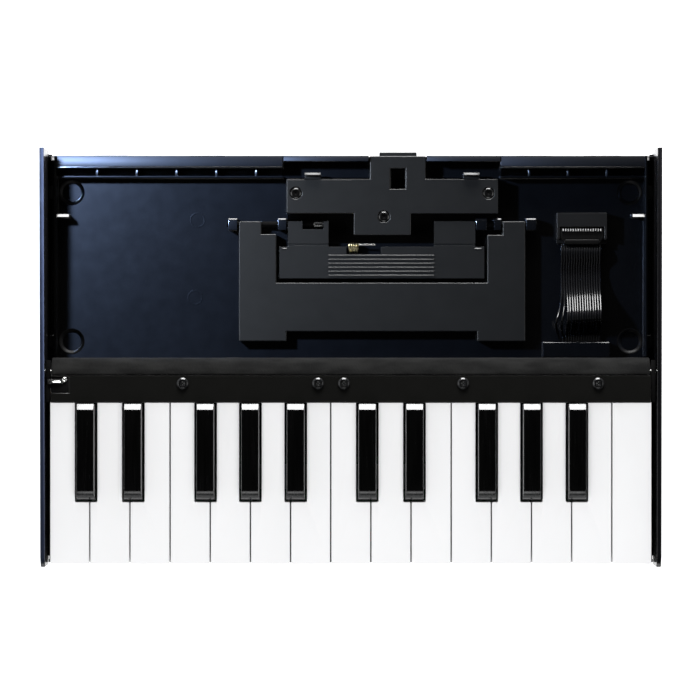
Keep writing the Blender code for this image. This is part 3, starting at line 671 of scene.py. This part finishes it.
# node, material slot, edge rounding in millimetres and its segments
REFINED = (
    ("bottom_case", "case_plastic", 0.25, 2),
    ("side_panel_left", "panel_metal", 0.35, 3),
    ("side_panel_right", "panel_metal", 0.35, 3),
    ("key_rear_cover", "cover_plastic", 0.3, 2),
    ("key_chassis", "chassis_plastic", 0.2, 2),
    ("module_bracket", "stand_plastic", 0.5, 4),
    ("module_latch", "stand_plastic", 0.4, 3),
    ("stand_outer", "stand_plastic", 0.5, 4),
    ("stand_inner", "stand_plastic", 0.3, 3),
    ("ribbon_holder", "plug_plastic", 0.25, 2),
    ("key_pivot_rod", "bright_steel", 0.0, 2),
    ("stand_pin_left", "bright_steel", 0.2, 2),
    ("stand_pin_right", "bright_steel", 0.2, 2),
    ("contact_board", "circuit_board", 0.1, 2),
    ("main_board", "circuit_board", 0.1, 2),
    ("contact_rubber", "dome_rubber", 0.1, 2),
    ("key_stop_felt", "felt", 0.3, 2),
)


def refine_cad_nodes():
    """All CAD nodes whose shape is right."""
    for node, slot, width, segments in REFINED:
        refine(node, slot, width * MM, segments)
    for side in ("left", "right"):
        NODES[f"stand_pin_{side}"].data.materials[0] = OXIDE_AND_SHADE


# ---------------------------------------------------------------- keys

KEY_WALL = 1.2 * MM
KEY_ROOF = 1.6 * MM
SLOT_HALF = 5.55 * MM
SLOT_FRONT_GAP = 1.0 * MM
KEY_BODY_REAR = -15.2 * MM


def drill_tail(bm, x_span, tail_y):
    """Join the hinge tail to a key and drill it for the rod."""
    margin = 0.7 * MM
    tail = bmesh.new()
    add_block(tail, (x_span[0] + margin, x_span[1] - margin), tail_y, mm(14.5, 20.5))
    bevel_sharp(tail, 0.4 * MM)
    joined = boolean(bm, "UNION", tail)
    hole = bmesh.new()
    add_prism(hole, circle((PIVOT_Y, PIVOT_Z), ROD_HOLE, 24), "x", (x_span[0] - MM, x_span[1] + MM))
    return boolean(joined, "DIFFERENCE", hole)


def build_white_key(index, sharps):
    """One white key: rounded outline, soft top edges, hollow underneath."""
    note = f"{NOTES[index % 7]}{index // 7 + 1}"
    low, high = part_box(f"key_{note}")
    rear_left, rear_right = low.x, high.x
    outline, radii = [(low.x, low.y), (high.x, low.y)], [0.9 * MM, 0.9 * MM]
    if index in sharps:
        rear_right = sharps[index][0] - SLOT_HALF
        front = sharps[index][1] - SLOT_FRONT_GAP
        outline += [(high.x, front), (rear_right, front)]
        radii += [0.5 * MM, 0.6 * MM]
    outline.append((rear_right, KEY_BODY_REAR))
    radii.append(0.3 * MM)
    if index - 1 in sharps:
        rear_left = sharps[index - 1][0] + SLOT_HALF
        front = sharps[index - 1][1] - SLOT_FRONT_GAP
        outline += [(rear_left, KEY_BODY_REAR), (rear_left, front), (low.x, front)]
        radii += [0.3 * MM, 0.6 * MM, 0.5 * MM]
    else:
        outline.append((rear_left, KEY_BODY_REAR))
        radii.append(0.3 * MM)
    bm = bmesh.new()
    add_prism(bm, rounded(outline, radii), "z", (low.z, high.z))
    top = high.z - 0.01 * MM
    bevel_sharp(bm, 0.6 * MM, 4, 60.0, lambda e: all(v.co.z > top for v in e.verts))
    pocket = bmesh.new()
    add_prism(pocket, inset(outline, KEY_WALL), "z", (low.z - MM, high.z - KEY_ROOF))
    bm = boolean(bm, "DIFFERENCE", pocket)
    bm = drill_tail(bm, (rear_left, rear_right), (KEY_BODY_REAR - 0.8 * MM, high.y))
    return add_piece(f"white_key_{note}", bm, "white_key", f"key_{note}", [f"key_{note}"], 35.0)


def build_black_key(name):
    """One black key: narrowing glossy cap with a long front slope and a short rear ramp."""
    low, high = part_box(name)
    centre = 0.5 * (low.x + high.x)
    shoulder = KEY_SHOULDER
    base_half = 0.5 * (high.x - low.x)
    narrowing = 0.45 * MM / (high.z - shoulder)
    cap_rear, ramp, drop = -23.0 * MM, 2.8 * MM, 2.0 * MM
    outline = [(low.y, low.z), (KEY_BODY_REAR, low.z), (KEY_BODY_REAR, shoulder), (cap_rear, shoulder),
               (cap_rear, high.z - drop), (cap_rear - ramp, high.z)]
    slope = ((5.2, 0.0), (4.6, 0.22), (3.8, 0.62), (3.0, 1.15), (2.2, 1.85), (1.5, 2.75),
             (0.9, 3.9), (0.45, 5.2))
    outline += [(low.y + y * MM, high.z - z * MM) for y, z in slope]
    outline.append((low.y, shoulder))
    bm = bmesh.new()
    add_prism(bm, outline, "x", (-base_half, base_half))
    for vert in bm.verts:
        side = math.copysign(1.0, vert.co.x)
        vert.co.x = centre + side * (base_half - narrowing * max(0.0, vert.co.z - shoulder))
    sides = [f for f in bm.faces if len(f.verts) == len(outline)]
    for face in sides:
        level = [v for v in face.verts if abs(v.co.z - shoulder) < 0.01 * MM]
        at_cap_rear = [v for v in level if abs(v.co.y - cap_rear) < 0.01 * MM][0]
        bmesh.utils.face_split(face, min(level, key=lambda v: v.co.y), at_cap_rear)
    bevel_sharp(bm, 1.1 * MM, 5, 12.0, lambda e: all(v.co.z > shoulder + 0.2 * MM for v in e.verts)
                and e.calc_face_angle(0.0) > math.radians(60.0)
                and abs(e.verts[0].co.x - e.verts[1].co.x) < 0.5 * MM)
    bevel_sharp(bm, 0.3 * MM, 3, 24.0, lambda e: all(v.co.z > shoulder + 1.5 * MM for v in e.verts)
                and abs(e.verts[0].co.x - e.verts[1].co.x) > 2.0 * MM and e.verts[0].co.y > -30.0 * MM)
    pocket = bmesh.new()
    add_block(pocket, (centre - base_half + KEY_WALL, centre + base_half - KEY_WALL),
              (low.y + KEY_WALL, KEY_BODY_REAR - KEY_WALL), (low.z - MM, 22.9 * MM))
    bm = boolean(bm, "DIFFERENCE", pocket)
    bm = drill_tail(bm, (centre - base_half, centre + base_half), (KEY_BODY_REAR - 0.8 * MM, high.y))
    add_piece(name.replace("key_", "black_key_").replace("_sharp", ""), bm, "black_key", name, [name], 35.0)
    return centre, low.y


def build_keys():
    """All keys; the white ones are notched around the black ones."""
    sharps = {}
    for index in range(14):
        if NOTES[index % 7] in SHARP_NOTES:
            sharps[index] = build_black_key(f"key_{NOTES[index % 7]}{index // 7 + 1}_sharp")
    return [build_white_key(index, sharps) for index in range(15)]


# ---------------------------------------------------------------- screws, springs, feet, clip

# shares of the head's radius and height, from its seat to the bottom of its recess
SCREW_HEAD = ((0.94, 0.0), (1.0, 0.10), (1.0, 0.32), (0.94, 0.46), (0.76, 0.86), (0.68, 0.97),
              (0.56, 1.0), (0.48, 0.96), (0.06, 0.34), (0.0, 0.32))


def add_screw(bm, centre, seat, radius, height, low):
    """A domed head with a rounded rim on a threaded shank, with a cross recess."""
    screw = bmesh.new()
    profile = [(0.0, low), (0.45 * radius, low), (0.45 * radius, seat)]
    profile += [(r * radius, seat + h * height) for r, h in SCREW_HEAD]
    add_turned(screw, centre, profile)
    for turn in (0.25 * math.pi, 0.75 * math.pi):
        cutter = bmesh.new()
        half_long, half_thin, depth = 0.62 * radius, 0.09 * radius, 0.62 * height
        outline = [(-half_long, seat + 1.2 * height), (-0.5 * half_long, seat + height - depth),
                   (0.5 * half_long, seat + height - depth), (half_long, seat + 1.2 * height)]
        add_prism(cutter, outline, "y", (-half_thin, half_thin))
        bmesh.ops.rotate(cutter, verts=cutter.verts, matrix=Matrix.Rotation(turn, 3, "Z"))
        bmesh.ops.translate(cutter, verts=cutter.verts, vec=(centre[0], centre[1], 0.0))
        screw = boolean(screw, "DIFFERENCE", cutter)
    join_into(bm, screw)


def build_screws():
    """Cover and bracket screws, each in the place of its CAD solid."""
    nodes = [f"cover_screw_{k}" for k in range(1, 6)]
    nodes += [f"bracket_screw_{side}" for side in ("left", "middle", "right")]
    for node in nodes:
        low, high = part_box(node)
        centre = (0.5 * (low.x + high.x), 0.5 * (low.y + high.y))
        height = (1.1 if node.startswith("cover") else 0.7) * MM
        radius = (2.9 if node.startswith("cover") else 2.6) * MM
        bm = bmesh.new()
        add_screw(bm, centre, high.z - height, radius, height, low.z)
        add_piece(f"{node}_head", bm, "black_screw", "base", [node], 40.0)


def coil_points(centre, radius, start, length, turns, along_x=True):
    """Points of a coil about a line along X or Y."""
    axis = Vector((1.0, 0.0, 0.0)) if along_x else Vector((0.0, 1.0, 0.0))
    side = Vector((0.0, 0.0, 1.0))
    other = axis.cross(side)
    steps = 24
    points = []
    for k in range(steps * turns + 1):
        angle = 2.0 * math.pi * k / steps - 0.25 * math.pi
        offset = side * (radius * math.cos(angle)) + other * (radius * math.sin(angle))
        points.append(Vector(centre) + offset + axis * (start + length * k / (steps * turns)))
    return points


def build_springs():
    """Brass spring of the short leg, and the latch's return spring."""
    bm = bmesh.new()
    points = coil_points((0.0, 55.1 * MM, 8.2 * MM), 2.2 * MM, -0.9 * MM, 4.8 * MM, 4)
    add_tube(bm, points, 0.40 * MM, 10)
    add_piece("stand_spring_coil", bm, "brass", "stand_inner", ["stand_spring"], 60.0)
    bm = bmesh.new()
    leg_y, leg_z = 56.75 * MM, 9.9 * MM
    add_tube(bm, [Vector((x * MM, leg_y, leg_z)) for x in np.linspace(4.2, 12.3, 8)], 0.42 * MM, 12)
    add_piece("stand_spring_leg", bm, "bright_steel", "stand_inner", (), 60.0)
    bm = bmesh.new()
    points = coil_points((23.7 * MM, 0.0, 8.4 * MM), 1.6 * MM, 75.3 * MM, 2.5 * MM, 5, False)
    add_tube(bm, points, 0.22 * MM, 8)
    add_piece("latch_spring_coil", bm, "bright_steel", "base", ["latch_spring"], 60.0)


def build_feet():
    """Turned rubber feet."""
    for end in ("front", "rear"):
        for side in ("left", "right"):
            node = f"foot_{end}_{side}"
            low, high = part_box(node)
            centre = (0.5 * (low.x + high.x), 0.5 * (low.y + high.y))
            bm = bmesh.new()
            profile = [(0.0, high.z), (5.0 * MM, high.z), (5.2 * MM, high.z - 0.2 * MM)]
            profile += [(r * MM, low.z + z * MM) for r, z in (
                (5.2, 0.5), (5.0, 0.15), (4.6, 0.0), (2.0, 0.0), (1.8, 0.3), (0.0, 0.3))]
            add_turned(bm, centre, profile, 40)
            add_piece(f"rubber_{node}", bm, "rubber", "base", [node], 50.0)


def build_side_clip():
    """Bent bright sheet clip at the left end of the cover."""
    low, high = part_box("side_clip")
    bm = bmesh.new()
    thick = 0.55 * MM
    profile = [(low.x, low.z), (low.x + thick, low.z), (low.x + thick, high.z - thick),
               (high.x, high.z - thick), (high.x, high.z), (low.x, high.z)]
    add_prism(bm, rounded(profile, [0.0, 0.0, 0.4 * MM, 0.2 * MM, 0.2 * MM, 0.7 * MM]), "y", (low.y, high.y))
    bevel_sharp(bm, 0.12 * MM, 2, 50.0)
    add_piece("side_clip_sheet", bm, "bright_steel", "base", ["side_clip"], 40.0)
    bm = bmesh.new()
    pocket = mm(26.05, 26.25)
    add_block(bm, mm(-149.0, -140.5), mm(-17.3, -9.8), pocket)
    bevel_sharp(bm, 0.08 * MM)
    add_piece("clip_pocket_floor", bm, "cover_plastic", look=OXIDE_AND_SHADE)
    bm = bmesh.new()
    add_turned(bm, mm(-142.4, -10.9), [mm(1.2, 26.2), mm(1.2, 26.8), mm(0.7, 27.15),
                                               mm(0.5, 27.15), mm(0.4, 26.9), (0.0, 26.9 * MM)], 28)
    add_wedge(bm, mm(-148.6, -144.4), mm(-12.4, -11.6), mm(26.8, 27.1))
    bevel_sharp(bm, 0.1 * MM, 2, 50.0)
    add_piece("side_clip_pin", bm, "bright_steel")


def build_panel_screws():
    """Four domed screws on dished washers in each side panel."""
    for name, side in (("left", -1.0), ("right", 1.0)):
        screws = bmesh.new()
        washers = bmesh.new()
        for y in (-88.0, -30.0, 32.0, 90.0):
            head = bmesh.new()
            add_screw(head, (0.0, 0.0), 0.25 * MM, 2.7 * MM, 0.8 * MM, -0.3 * MM)
            washer = bmesh.new()
            add_turned(washer, (0.0, 0.0), [(0.0, -0.2 * MM), mm(3.6, -0.2), (3.7 * MM, 0.0),
                                            mm(3.5, 0.22), mm(2.4, 0.3), (0.0, 0.3 * MM)], 36)
            for part, whole in ((head, screws), (washer, washers)):
                turned_about_y(part, side)
                place = (side * PANEL_FACE, y * MM, PANEL_SCREW_HEIGHT)
                bmesh.ops.translate(part, verts=part.verts, vec=place)
                join_into(whole, part)
        add_piece(f"panel_screws_{name}", screws, "black_screw")
        add_piece(f"panel_washers_{name}", washers, "panel_metal")


def build_underside():
    """Screws in ringed wells, a blank plate and shallow ribs under the case."""
    low = CASE_UNDERSIDE
    screws = bmesh.new()
    rings = bmesh.new()
    places = [(x, y) for y in (-97.0, -8.0, 97.0) for x in (-110.0, -37.0, 37.0, 110.0)]
    for x, y in places:
        head = bmesh.new()
        add_screw(head, (0.0, 0.0), 0.05 * MM, 2.4 * MM, 0.6 * MM, -0.4 * MM)
        bmesh.ops.rotate(head, verts=head.verts, matrix=Matrix.Rotation(math.pi, 3, "X"))
        bmesh.ops.translate(head, verts=head.verts, vec=(x * MM, y * MM, low))
        join_into(screws, head)
        ring = [(r * MM, low + z * MM) for r, z in (
            (3.4, 0.1), (3.4, -0.35), (3.7, -0.5), (4.3, -0.5), (4.6, -0.35), (4.6, 0.1))]
        add_ring(rings, (x * MM, y * MM), ring, 40)
    add_piece("case_screws", screws, "black_screw")
    add_piece("case_screw_rings", rings, "case_plastic", "base", (), 50.0)
    ribs = bmesh.new()
    depth = (low - 0.5 * MM, low + 0.1 * MM)
    for y in (-80.0, -56.0, -32.0, 20.0, 46.0, 72.0):
        add_block(ribs, mm(-124.0, 124.0), mm(y - 0.7, y + 0.7), depth)
    for x in (-124.0, 124.0):
        add_block(ribs, mm(x - 0.7, x + 0.7), mm(-80.0, 72.0), depth)
    bevel_sharp(ribs, 0.2 * MM, 2)
    add_piece("case_ribs", ribs, "case_plastic")
    plate = bmesh.new()
    outline = rounded(rectangle(mm(-34.0, 34.0), mm(-2.0, 16.0)), 2.0 * MM)
    add_prism(plate, outline, "z", (low - 0.25 * MM, low + 0.1 * MM))
    bevel_sharp(plate, 0.1 * MM, 2, 60.0)
    add_piece("blank_plate", plate, "panel_metal")


def build_rear_wall():
    """Two raised lines and four shallow pads on the rear wall."""
    rear = REAR_WALL
    bm = bmesh.new()
    for x in ((-147.0, 8.0), (39.0, 147.0)):
        for z in (mm(5.1, 6.0), mm(2.2, 2.9)):
            add_block(bm, mm(*x), (rear - 0.3 * MM, rear + 0.25 * MM), z)
    bevel_sharp(bm, 0.15 * MM, 2)
    add_piece("rear_wall_lines", bm, "case_plastic")
    bm = bmesh.new()
    for x in (-120.0, -72.0, 92.0, 126.0):
        outline = rounded(rectangle(mm(x - 9.0, x + 9.0), mm(7.4, 12.4)), 1.2 * MM)
        add_prism(bm, outline, "y", (rear - 0.3 * MM, rear + 0.3 * MM))
    bevel_sharp(bm, 0.15 * MM, 2, 60.0)
    add_piece("rear_wall_pads", bm, "cover_plastic")


# ---------------------------------------------------------------- cloth, cable and plug

def build_cloth():
    """Dust cloth laid over the rear slope of the cover."""
    profile = [(-8.55, 26.45), (-8.0, 26.55), (-5.5, 25.95), (-2.5, 24.15), (-0.9, 21.6),
               (-0.30, 18.5), (-0.25, 13.2)]
    line = smooth_path([(0.0, y * MM, z * MM) for y, z in profile], 30)
    width = 148.9 * MM
    columns = 240
    bm = bmesh.new()
    rows = []
    for row, point in enumerate(line):
        ring = []
        for column in range(columns + 1):
            x = -width + 2.0 * width * column / columns
            ripple = (0.10 * MM * noise.noise((x * 90.0, row * 0.35, 0.0))
                      + 0.05 * MM * noise.noise((x * 320.0, row, 3.0)))
            edge = 0.25 * MM * noise.noise((x * 60.0, 7.0, 0.0)) if row in (0, len(line) - 1) else 0.0
            ring.append(bm.verts.new((x, point.y + edge + ripple * 0.5, point.z + ripple)))
        rows.append(ring)
    for ring_a, ring_b in zip(rows, rows[1:]):
        bridge(bm, ring_a, ring_b, False)
    cloth = add_piece("cloth_strip_weave", bm, "cloth", "base", ["cloth_strip"], 60.0)
    thick = cloth.modifiers.new("thick", "SOLIDIFY")
    thick.thickness = 0.35 * MM
    thick.offset = 0.0


RIBBON_ROUTE = [
    (-9.0, 9.0), (-3.0, 9.0), (0.0, 8.3), (4.0, 6.8), (9.0, 6.1), (12.5, 6.8), (15.5, 9.8),
    (18.0, 14.0), (20.3, 16.6), (23.2, 16.1), (27.0, 13.5), (31.0, 10.8), (35.0, 8.9), (39.5, 7.7),
    (43.0, 7.2), (47.0, 7.8), (50.6, 9.6), (53.0, 10.0), (55.0, 9.2), (56.8, 8.4),
]
WIRES = 16


def build_ribbon():
    """Sixteen wires side by side; the two on the left hang loose of the others near the crest."""
    low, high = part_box("ribbon_cable")
    pitch = (high.x - low.x) / WIRES
    bm = bmesh.new()
    for wire in range(WIRES):
        x = low.x + pitch * (wire + 0.5)
        loose = max(0.0, 1.0 - wire / 2.0)
        route = []
        for y, z in RIBBON_ROUTE:
            swell = math.exp(-((y - 22.0) / 9.0) ** 2)
            sway = 0.35 * noise.noise((wire * 0.9, y * 0.05, 1.0)) * swell
            drop = 0.30 * noise.noise((wire * 0.7, y * 0.06, 5.0)) * swell
            shift = -3.2 * loose * math.exp(-((y - 18.0) / 7.5) ** 2)
            fall = -3.0 * loose * math.exp(-((y - 24.0) / 5.0) ** 2)
            late = 1.2 * (1.0 - wire / WIRES) * swell
            route.append(((x + (sway + shift) * MM), (y - late) * MM, (z + drop + fall) * MM))
        add_tube(bm, smooth_path(route, 90), 0.47 * pitch, 8)
    return add_piece("ribbon_wires", bm, "ribbon", "base", ["ribbon_cable"], 60.0)


def build_plug():
    """The cable's plug with its row of contacts, and the bar that holds the wires."""
    low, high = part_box("ribbon_plug")
    places = [low.x + 1.4 * MM + (high.x - low.x - 2.8 * MM) * k / (WIRES - 1) for k in range(WIRES)]
    bm = bmesh.new()
    outline = [(low.x, low.y + 3.0 * MM), (low.x + 2.2 * MM, low.y), (high.x - 2.2 * MM, low.y),
               (high.x, low.y + 3.0 * MM), (high.x, high.y), (low.x, high.y)]
    add_prism(bm, rounded(outline, 0.5 * MM), "z", (low.z, high.z))
    bevel_sharp(bm, 0.3 * MM, 3, 50.0)
    for x in places:
        slot_cut = bmesh.new()
        add_block(slot_cut, (x - 0.38 * MM, x + 0.38 * MM), (high.y - 2.6 * MM, high.y - 0.5 * MM),
                  (high.z - 0.8 * MM, high.z + MM))
        bm = boolean(bm, "DIFFERENCE", slot_cut)
    add_piece("ribbon_plug_body", bm, "plug_plastic", "base", ["ribbon_plug"], look=OXIDE_AND_SHADE)
    bm = bmesh.new()
    for x in places:
        add_wedge(bm, (x - 0.34 * MM, x + 0.34 * MM), (high.y - 2.0 * MM, high.y - 0.6 * MM),
                  (high.z - 0.79 * MM, high.z + 0.05 * MM))
    bevel_sharp(bm, 0.08 * MM, 2, 50.0)
    add_piece("ribbon_plug_contacts", bm, "bright_steel", look=TIN)
    bm = bmesh.new()
    middle = 0.5 * (low.x + high.x)
    bar = [(middle + x * MM, y * MM) for x, y in (
        (-9.4, 57.4), (-7.6, 56.9), (7.6, 56.9), (9.4, 57.4), (8.4, 59.3), (-8.4, 59.3))]
    add_prism(bm, rounded(bar, 0.4 * MM), "z", (high.z - 1.0 * MM, high.z + 0.7 * MM))
    bevel_sharp(bm, 0.6 * MM, 4, 50.0)
    add_piece("ribbon_strain_bar", bm, "plug_plastic", look=RIM)


# ---------------------------------------------------------------- small details

def build_seals():
    """Thin black strips that close the slits between the case floor and the side panels."""
    for name, side in (("left", -1.0), ("right", 1.0)):
        bm = bmesh.new()
        x = sorted((side * 150.6 * MM, side * 153.2 * MM))
        add_block(bm, x, mm(-100.0, 102.5), mm(1.55, 1.95))
        bevel_sharp(bm, 0.12 * MM)
        add_piece(f"floor_seal_{name}", bm, "case_plastic")


def build_bright_ends():
    """Sloped ends of the bracket's hooks, stops on the short leg, and the pin's free end."""
    hooks = bmesh.new()
    for x in ((-23.2, -15.0), (56.4, 64.5)):
        add_wedge(hooks, mm(*x), mm(91.4, 92.7), mm(8.8, 15.2))
    bevel_sharp(hooks, 0.15 * MM, 2, 50.0)
    add_piece("bracket_hook_tips", hooks, "stand_plastic")
    stops = bmesh.new()
    for x in ((-34.6, -32.2), (62.2, 65.6)):
        add_wedge(stops, mm(*x), mm(54.5, 55.1), mm(10.8, 11.02))
    bevel_sharp(stops, 0.12 * MM, 2, 50.0)
    add_piece("stand_inner_stops", stops, "stand_plastic", "stand_inner")
    pin = bmesh.new()
    add_prism(pin, circle((HINGE_Y, HINGE_Z), 1.56 * MM, 32), "x", mm(-18.6, -13.9))
    bevel_sharp(pin, 0.25 * MM, 3, 60.0)
    add_piece("stand_pin_end", pin, "bright_steel")


def build_dark_fillers():
    """Painted shade: dark blocks in the gaps at the cover's ends and a thin dark sheet under the bracket;
    and the linings of the four cups.
    """
    # Painted shade: dark blocks that fill the gaps between the cover's ends and the side panels.
    blocks = bmesh.new()
    for x, y in (((-151.7, -149.35), (-22.3, -13.3)), ((-151.7, -149.35), (-10.4, -1.2)),
                 ((149.35, 151.7), (-22.3, -1.2))):
        add_block(blocks, mm(*x), mm(*y), mm(24.9, 25.6))
    bevel_sharp(blocks, 0.15 * MM)
    add_piece("painted_shade_cover_ends", blocks, "cover_plastic", look=OXIDE_AND_SHADE)
    # Painted shade: a thin dark sheet on the tray floor under the bracket and the legs.
    bracket_shade = bmesh.new()
    outline = rectangle(mm(-31.8, 62.4), mm(57.6, 90.6))
    add_prism(bracket_shade, rounded(outline, 1.5 * MM), "z", mm(4.45, 4.6))
    bevel_sharp(bracket_shade, 0.05 * MM, 1, 60.0)
    add_piece("painted_shade_under_bracket", bracket_shade, "rubber", look=OXIDE_AND_SHADE)
    cups = bmesh.new()
    lining = scaled((6.5, 4.51), (6.2, 4.53), (5.5, 4.28), (5.15, 3.9), (4.9, 3.43), (4.5, 3.41))
    for centre in CUP_CENTRES:
        add_ring(cups, centre, lining, 48)
    add_piece("cup_linings", cups, "case_plastic", "base", (), 60.0, look=RIM)


def build_edge_lines():
    """Thin crests on the short leg's ribs and on the bracket's rear edge."""
    ribs = bmesh.new()
    for k in range(6):
        y = 40.6 + 2.0 * k
        add_wedge(ribs, mm(-11.2, 41.7), ((y + 0.69) * MM, (y + 0.97) * MM), mm(11.3, 11.62))
    bevel_sharp(ribs, 0.04 * MM, 1, 50.0)
    add_piece("stand_rib_crests", ribs, "stand_plastic", "stand_inner")
    edge = bmesh.new()
    add_wedge(edge, mm(-31.9, 1.1), mm(88.95, 89.45), mm(12.2, 12.5))
    add_wedge(edge, mm(38.2, 73.5), mm(89.25, 89.45), mm(12.2, 12.7))
    bevel_sharp(edge, 0.04 * MM, 1, 50.0)
    add_piece("bracket_rear_crest", edge, "stand_plastic")


def build_tray_details():
    """Ejector marks, cap and bead of the rim, a dark sheet of painted shade on the channel's floor, the
    channel's ribs, and ends of the side walls.
    """
    floor = TRAY_FLOOR
    bm = bmesh.new()
    for x, y in ((-77.2, 69.2), (-78.4, 30.2)):
        ring = [(r * MM, floor + z * MM) for r, z in ((3.1, 0.0), (3.4, 0.03), (3.6, 0.03), (3.9, 0.0))]
        add_ring(bm, (x * MM, y * MM), ring, 40)
    add_piece("tray_rings", bm, "case_plastic", "base", (), 60.0)
    bm = bmesh.new()
    covered = (((-147.5, -34.2), 95.9), ((-33.6, 8.8), 98.4), ((38.2, 74.8), 98.4), ((75.4, 147.5), 95.9))
    for x, front in covered:
        outline = [(front * MM, 14.9 * MM), mm(100.9, 14.9), mm(100.9, 15.05), (front * MM, 15.5 * MM)]
        add_prism(bm, outline, "x", mm(*x))
    bevel_sharp(bm, 0.12 * MM, 2)
    add_piece("rim_cap", bm, "case_plastic", look=RIM)
    bm = bmesh.new()
    for x in ((-147.0, -34.2), (75.4, 147.0)):
        add_block(bm, mm(*x), mm(94.9, 95.7), mm(14.6, 15.35))
    bevel_sharp(bm, 0.3 * MM, 3)
    add_piece("rim_bead", bm, "case_plastic")
    # Painted shade: dark strips on the channel's floor between the ribs.
    channel_shade = bmesh.new()
    blocks = bmesh.new()
    runs = ((-147.2, -34.6, (-127.5, -107.5, -87.5, -67.5, -47.5)), (75.8, 147.2, (89.5, 109.0, 128.5)))
    for start, end, ribs in runs:
        for rib in ribs + (end + 0.7,):
            add_block(channel_shade, (start * MM, (rib - 0.7) * MM), mm(91.25, 94.75), mm(4.52, 5.2))
            start = rib + 0.7
        for rib in ribs:
            low, high = (rib - 0.6) * MM, (rib + 0.6) * MM
            outline = [(low, 10.8 * MM), (high, 10.8 * MM), (high, 11.75 * MM), (low, 11.4 * MM)]
            add_prism(blocks, outline, "y", mm(91.1, 94.9))
    bevel_sharp(channel_shade, 0.1 * MM)
    bevel_sharp(blocks, 0.12 * MM)
    add_piece("painted_shade_channel_floor", channel_shade, "case_plastic", look=OXIDE_AND_SHADE)
    add_piece("channel_ribs", blocks, "case_plastic")
    ends = bmesh.new()
    for x in ((-150.2, -147.9), (147.9, 149.6)):
        add_wedge(ends, mm(*x), mm(98.7, 100.6), mm(12.0, 14.6))
    bevel_sharp(ends, 0.3 * MM, 3, 50.0)
    add_piece("wall_ends", ends, "plug_plastic")


def main():
    """Build the object's looks."""
    build_studio()
    refine_cad_nodes()
    white_keys = build_keys()
    build_screws()
    build_springs()
    build_feet()
    build_side_clip()
    build_panel_screws()
    build_underside()
    build_rear_wall()
    build_cloth()
    ribbon = build_ribbon()
    build_plug()
    build_seals()
    build_bright_ends()
    build_dark_fillers()
    build_edge_lines()
    build_tray_details()
    build_lights(white_keys, ribbon)


main()
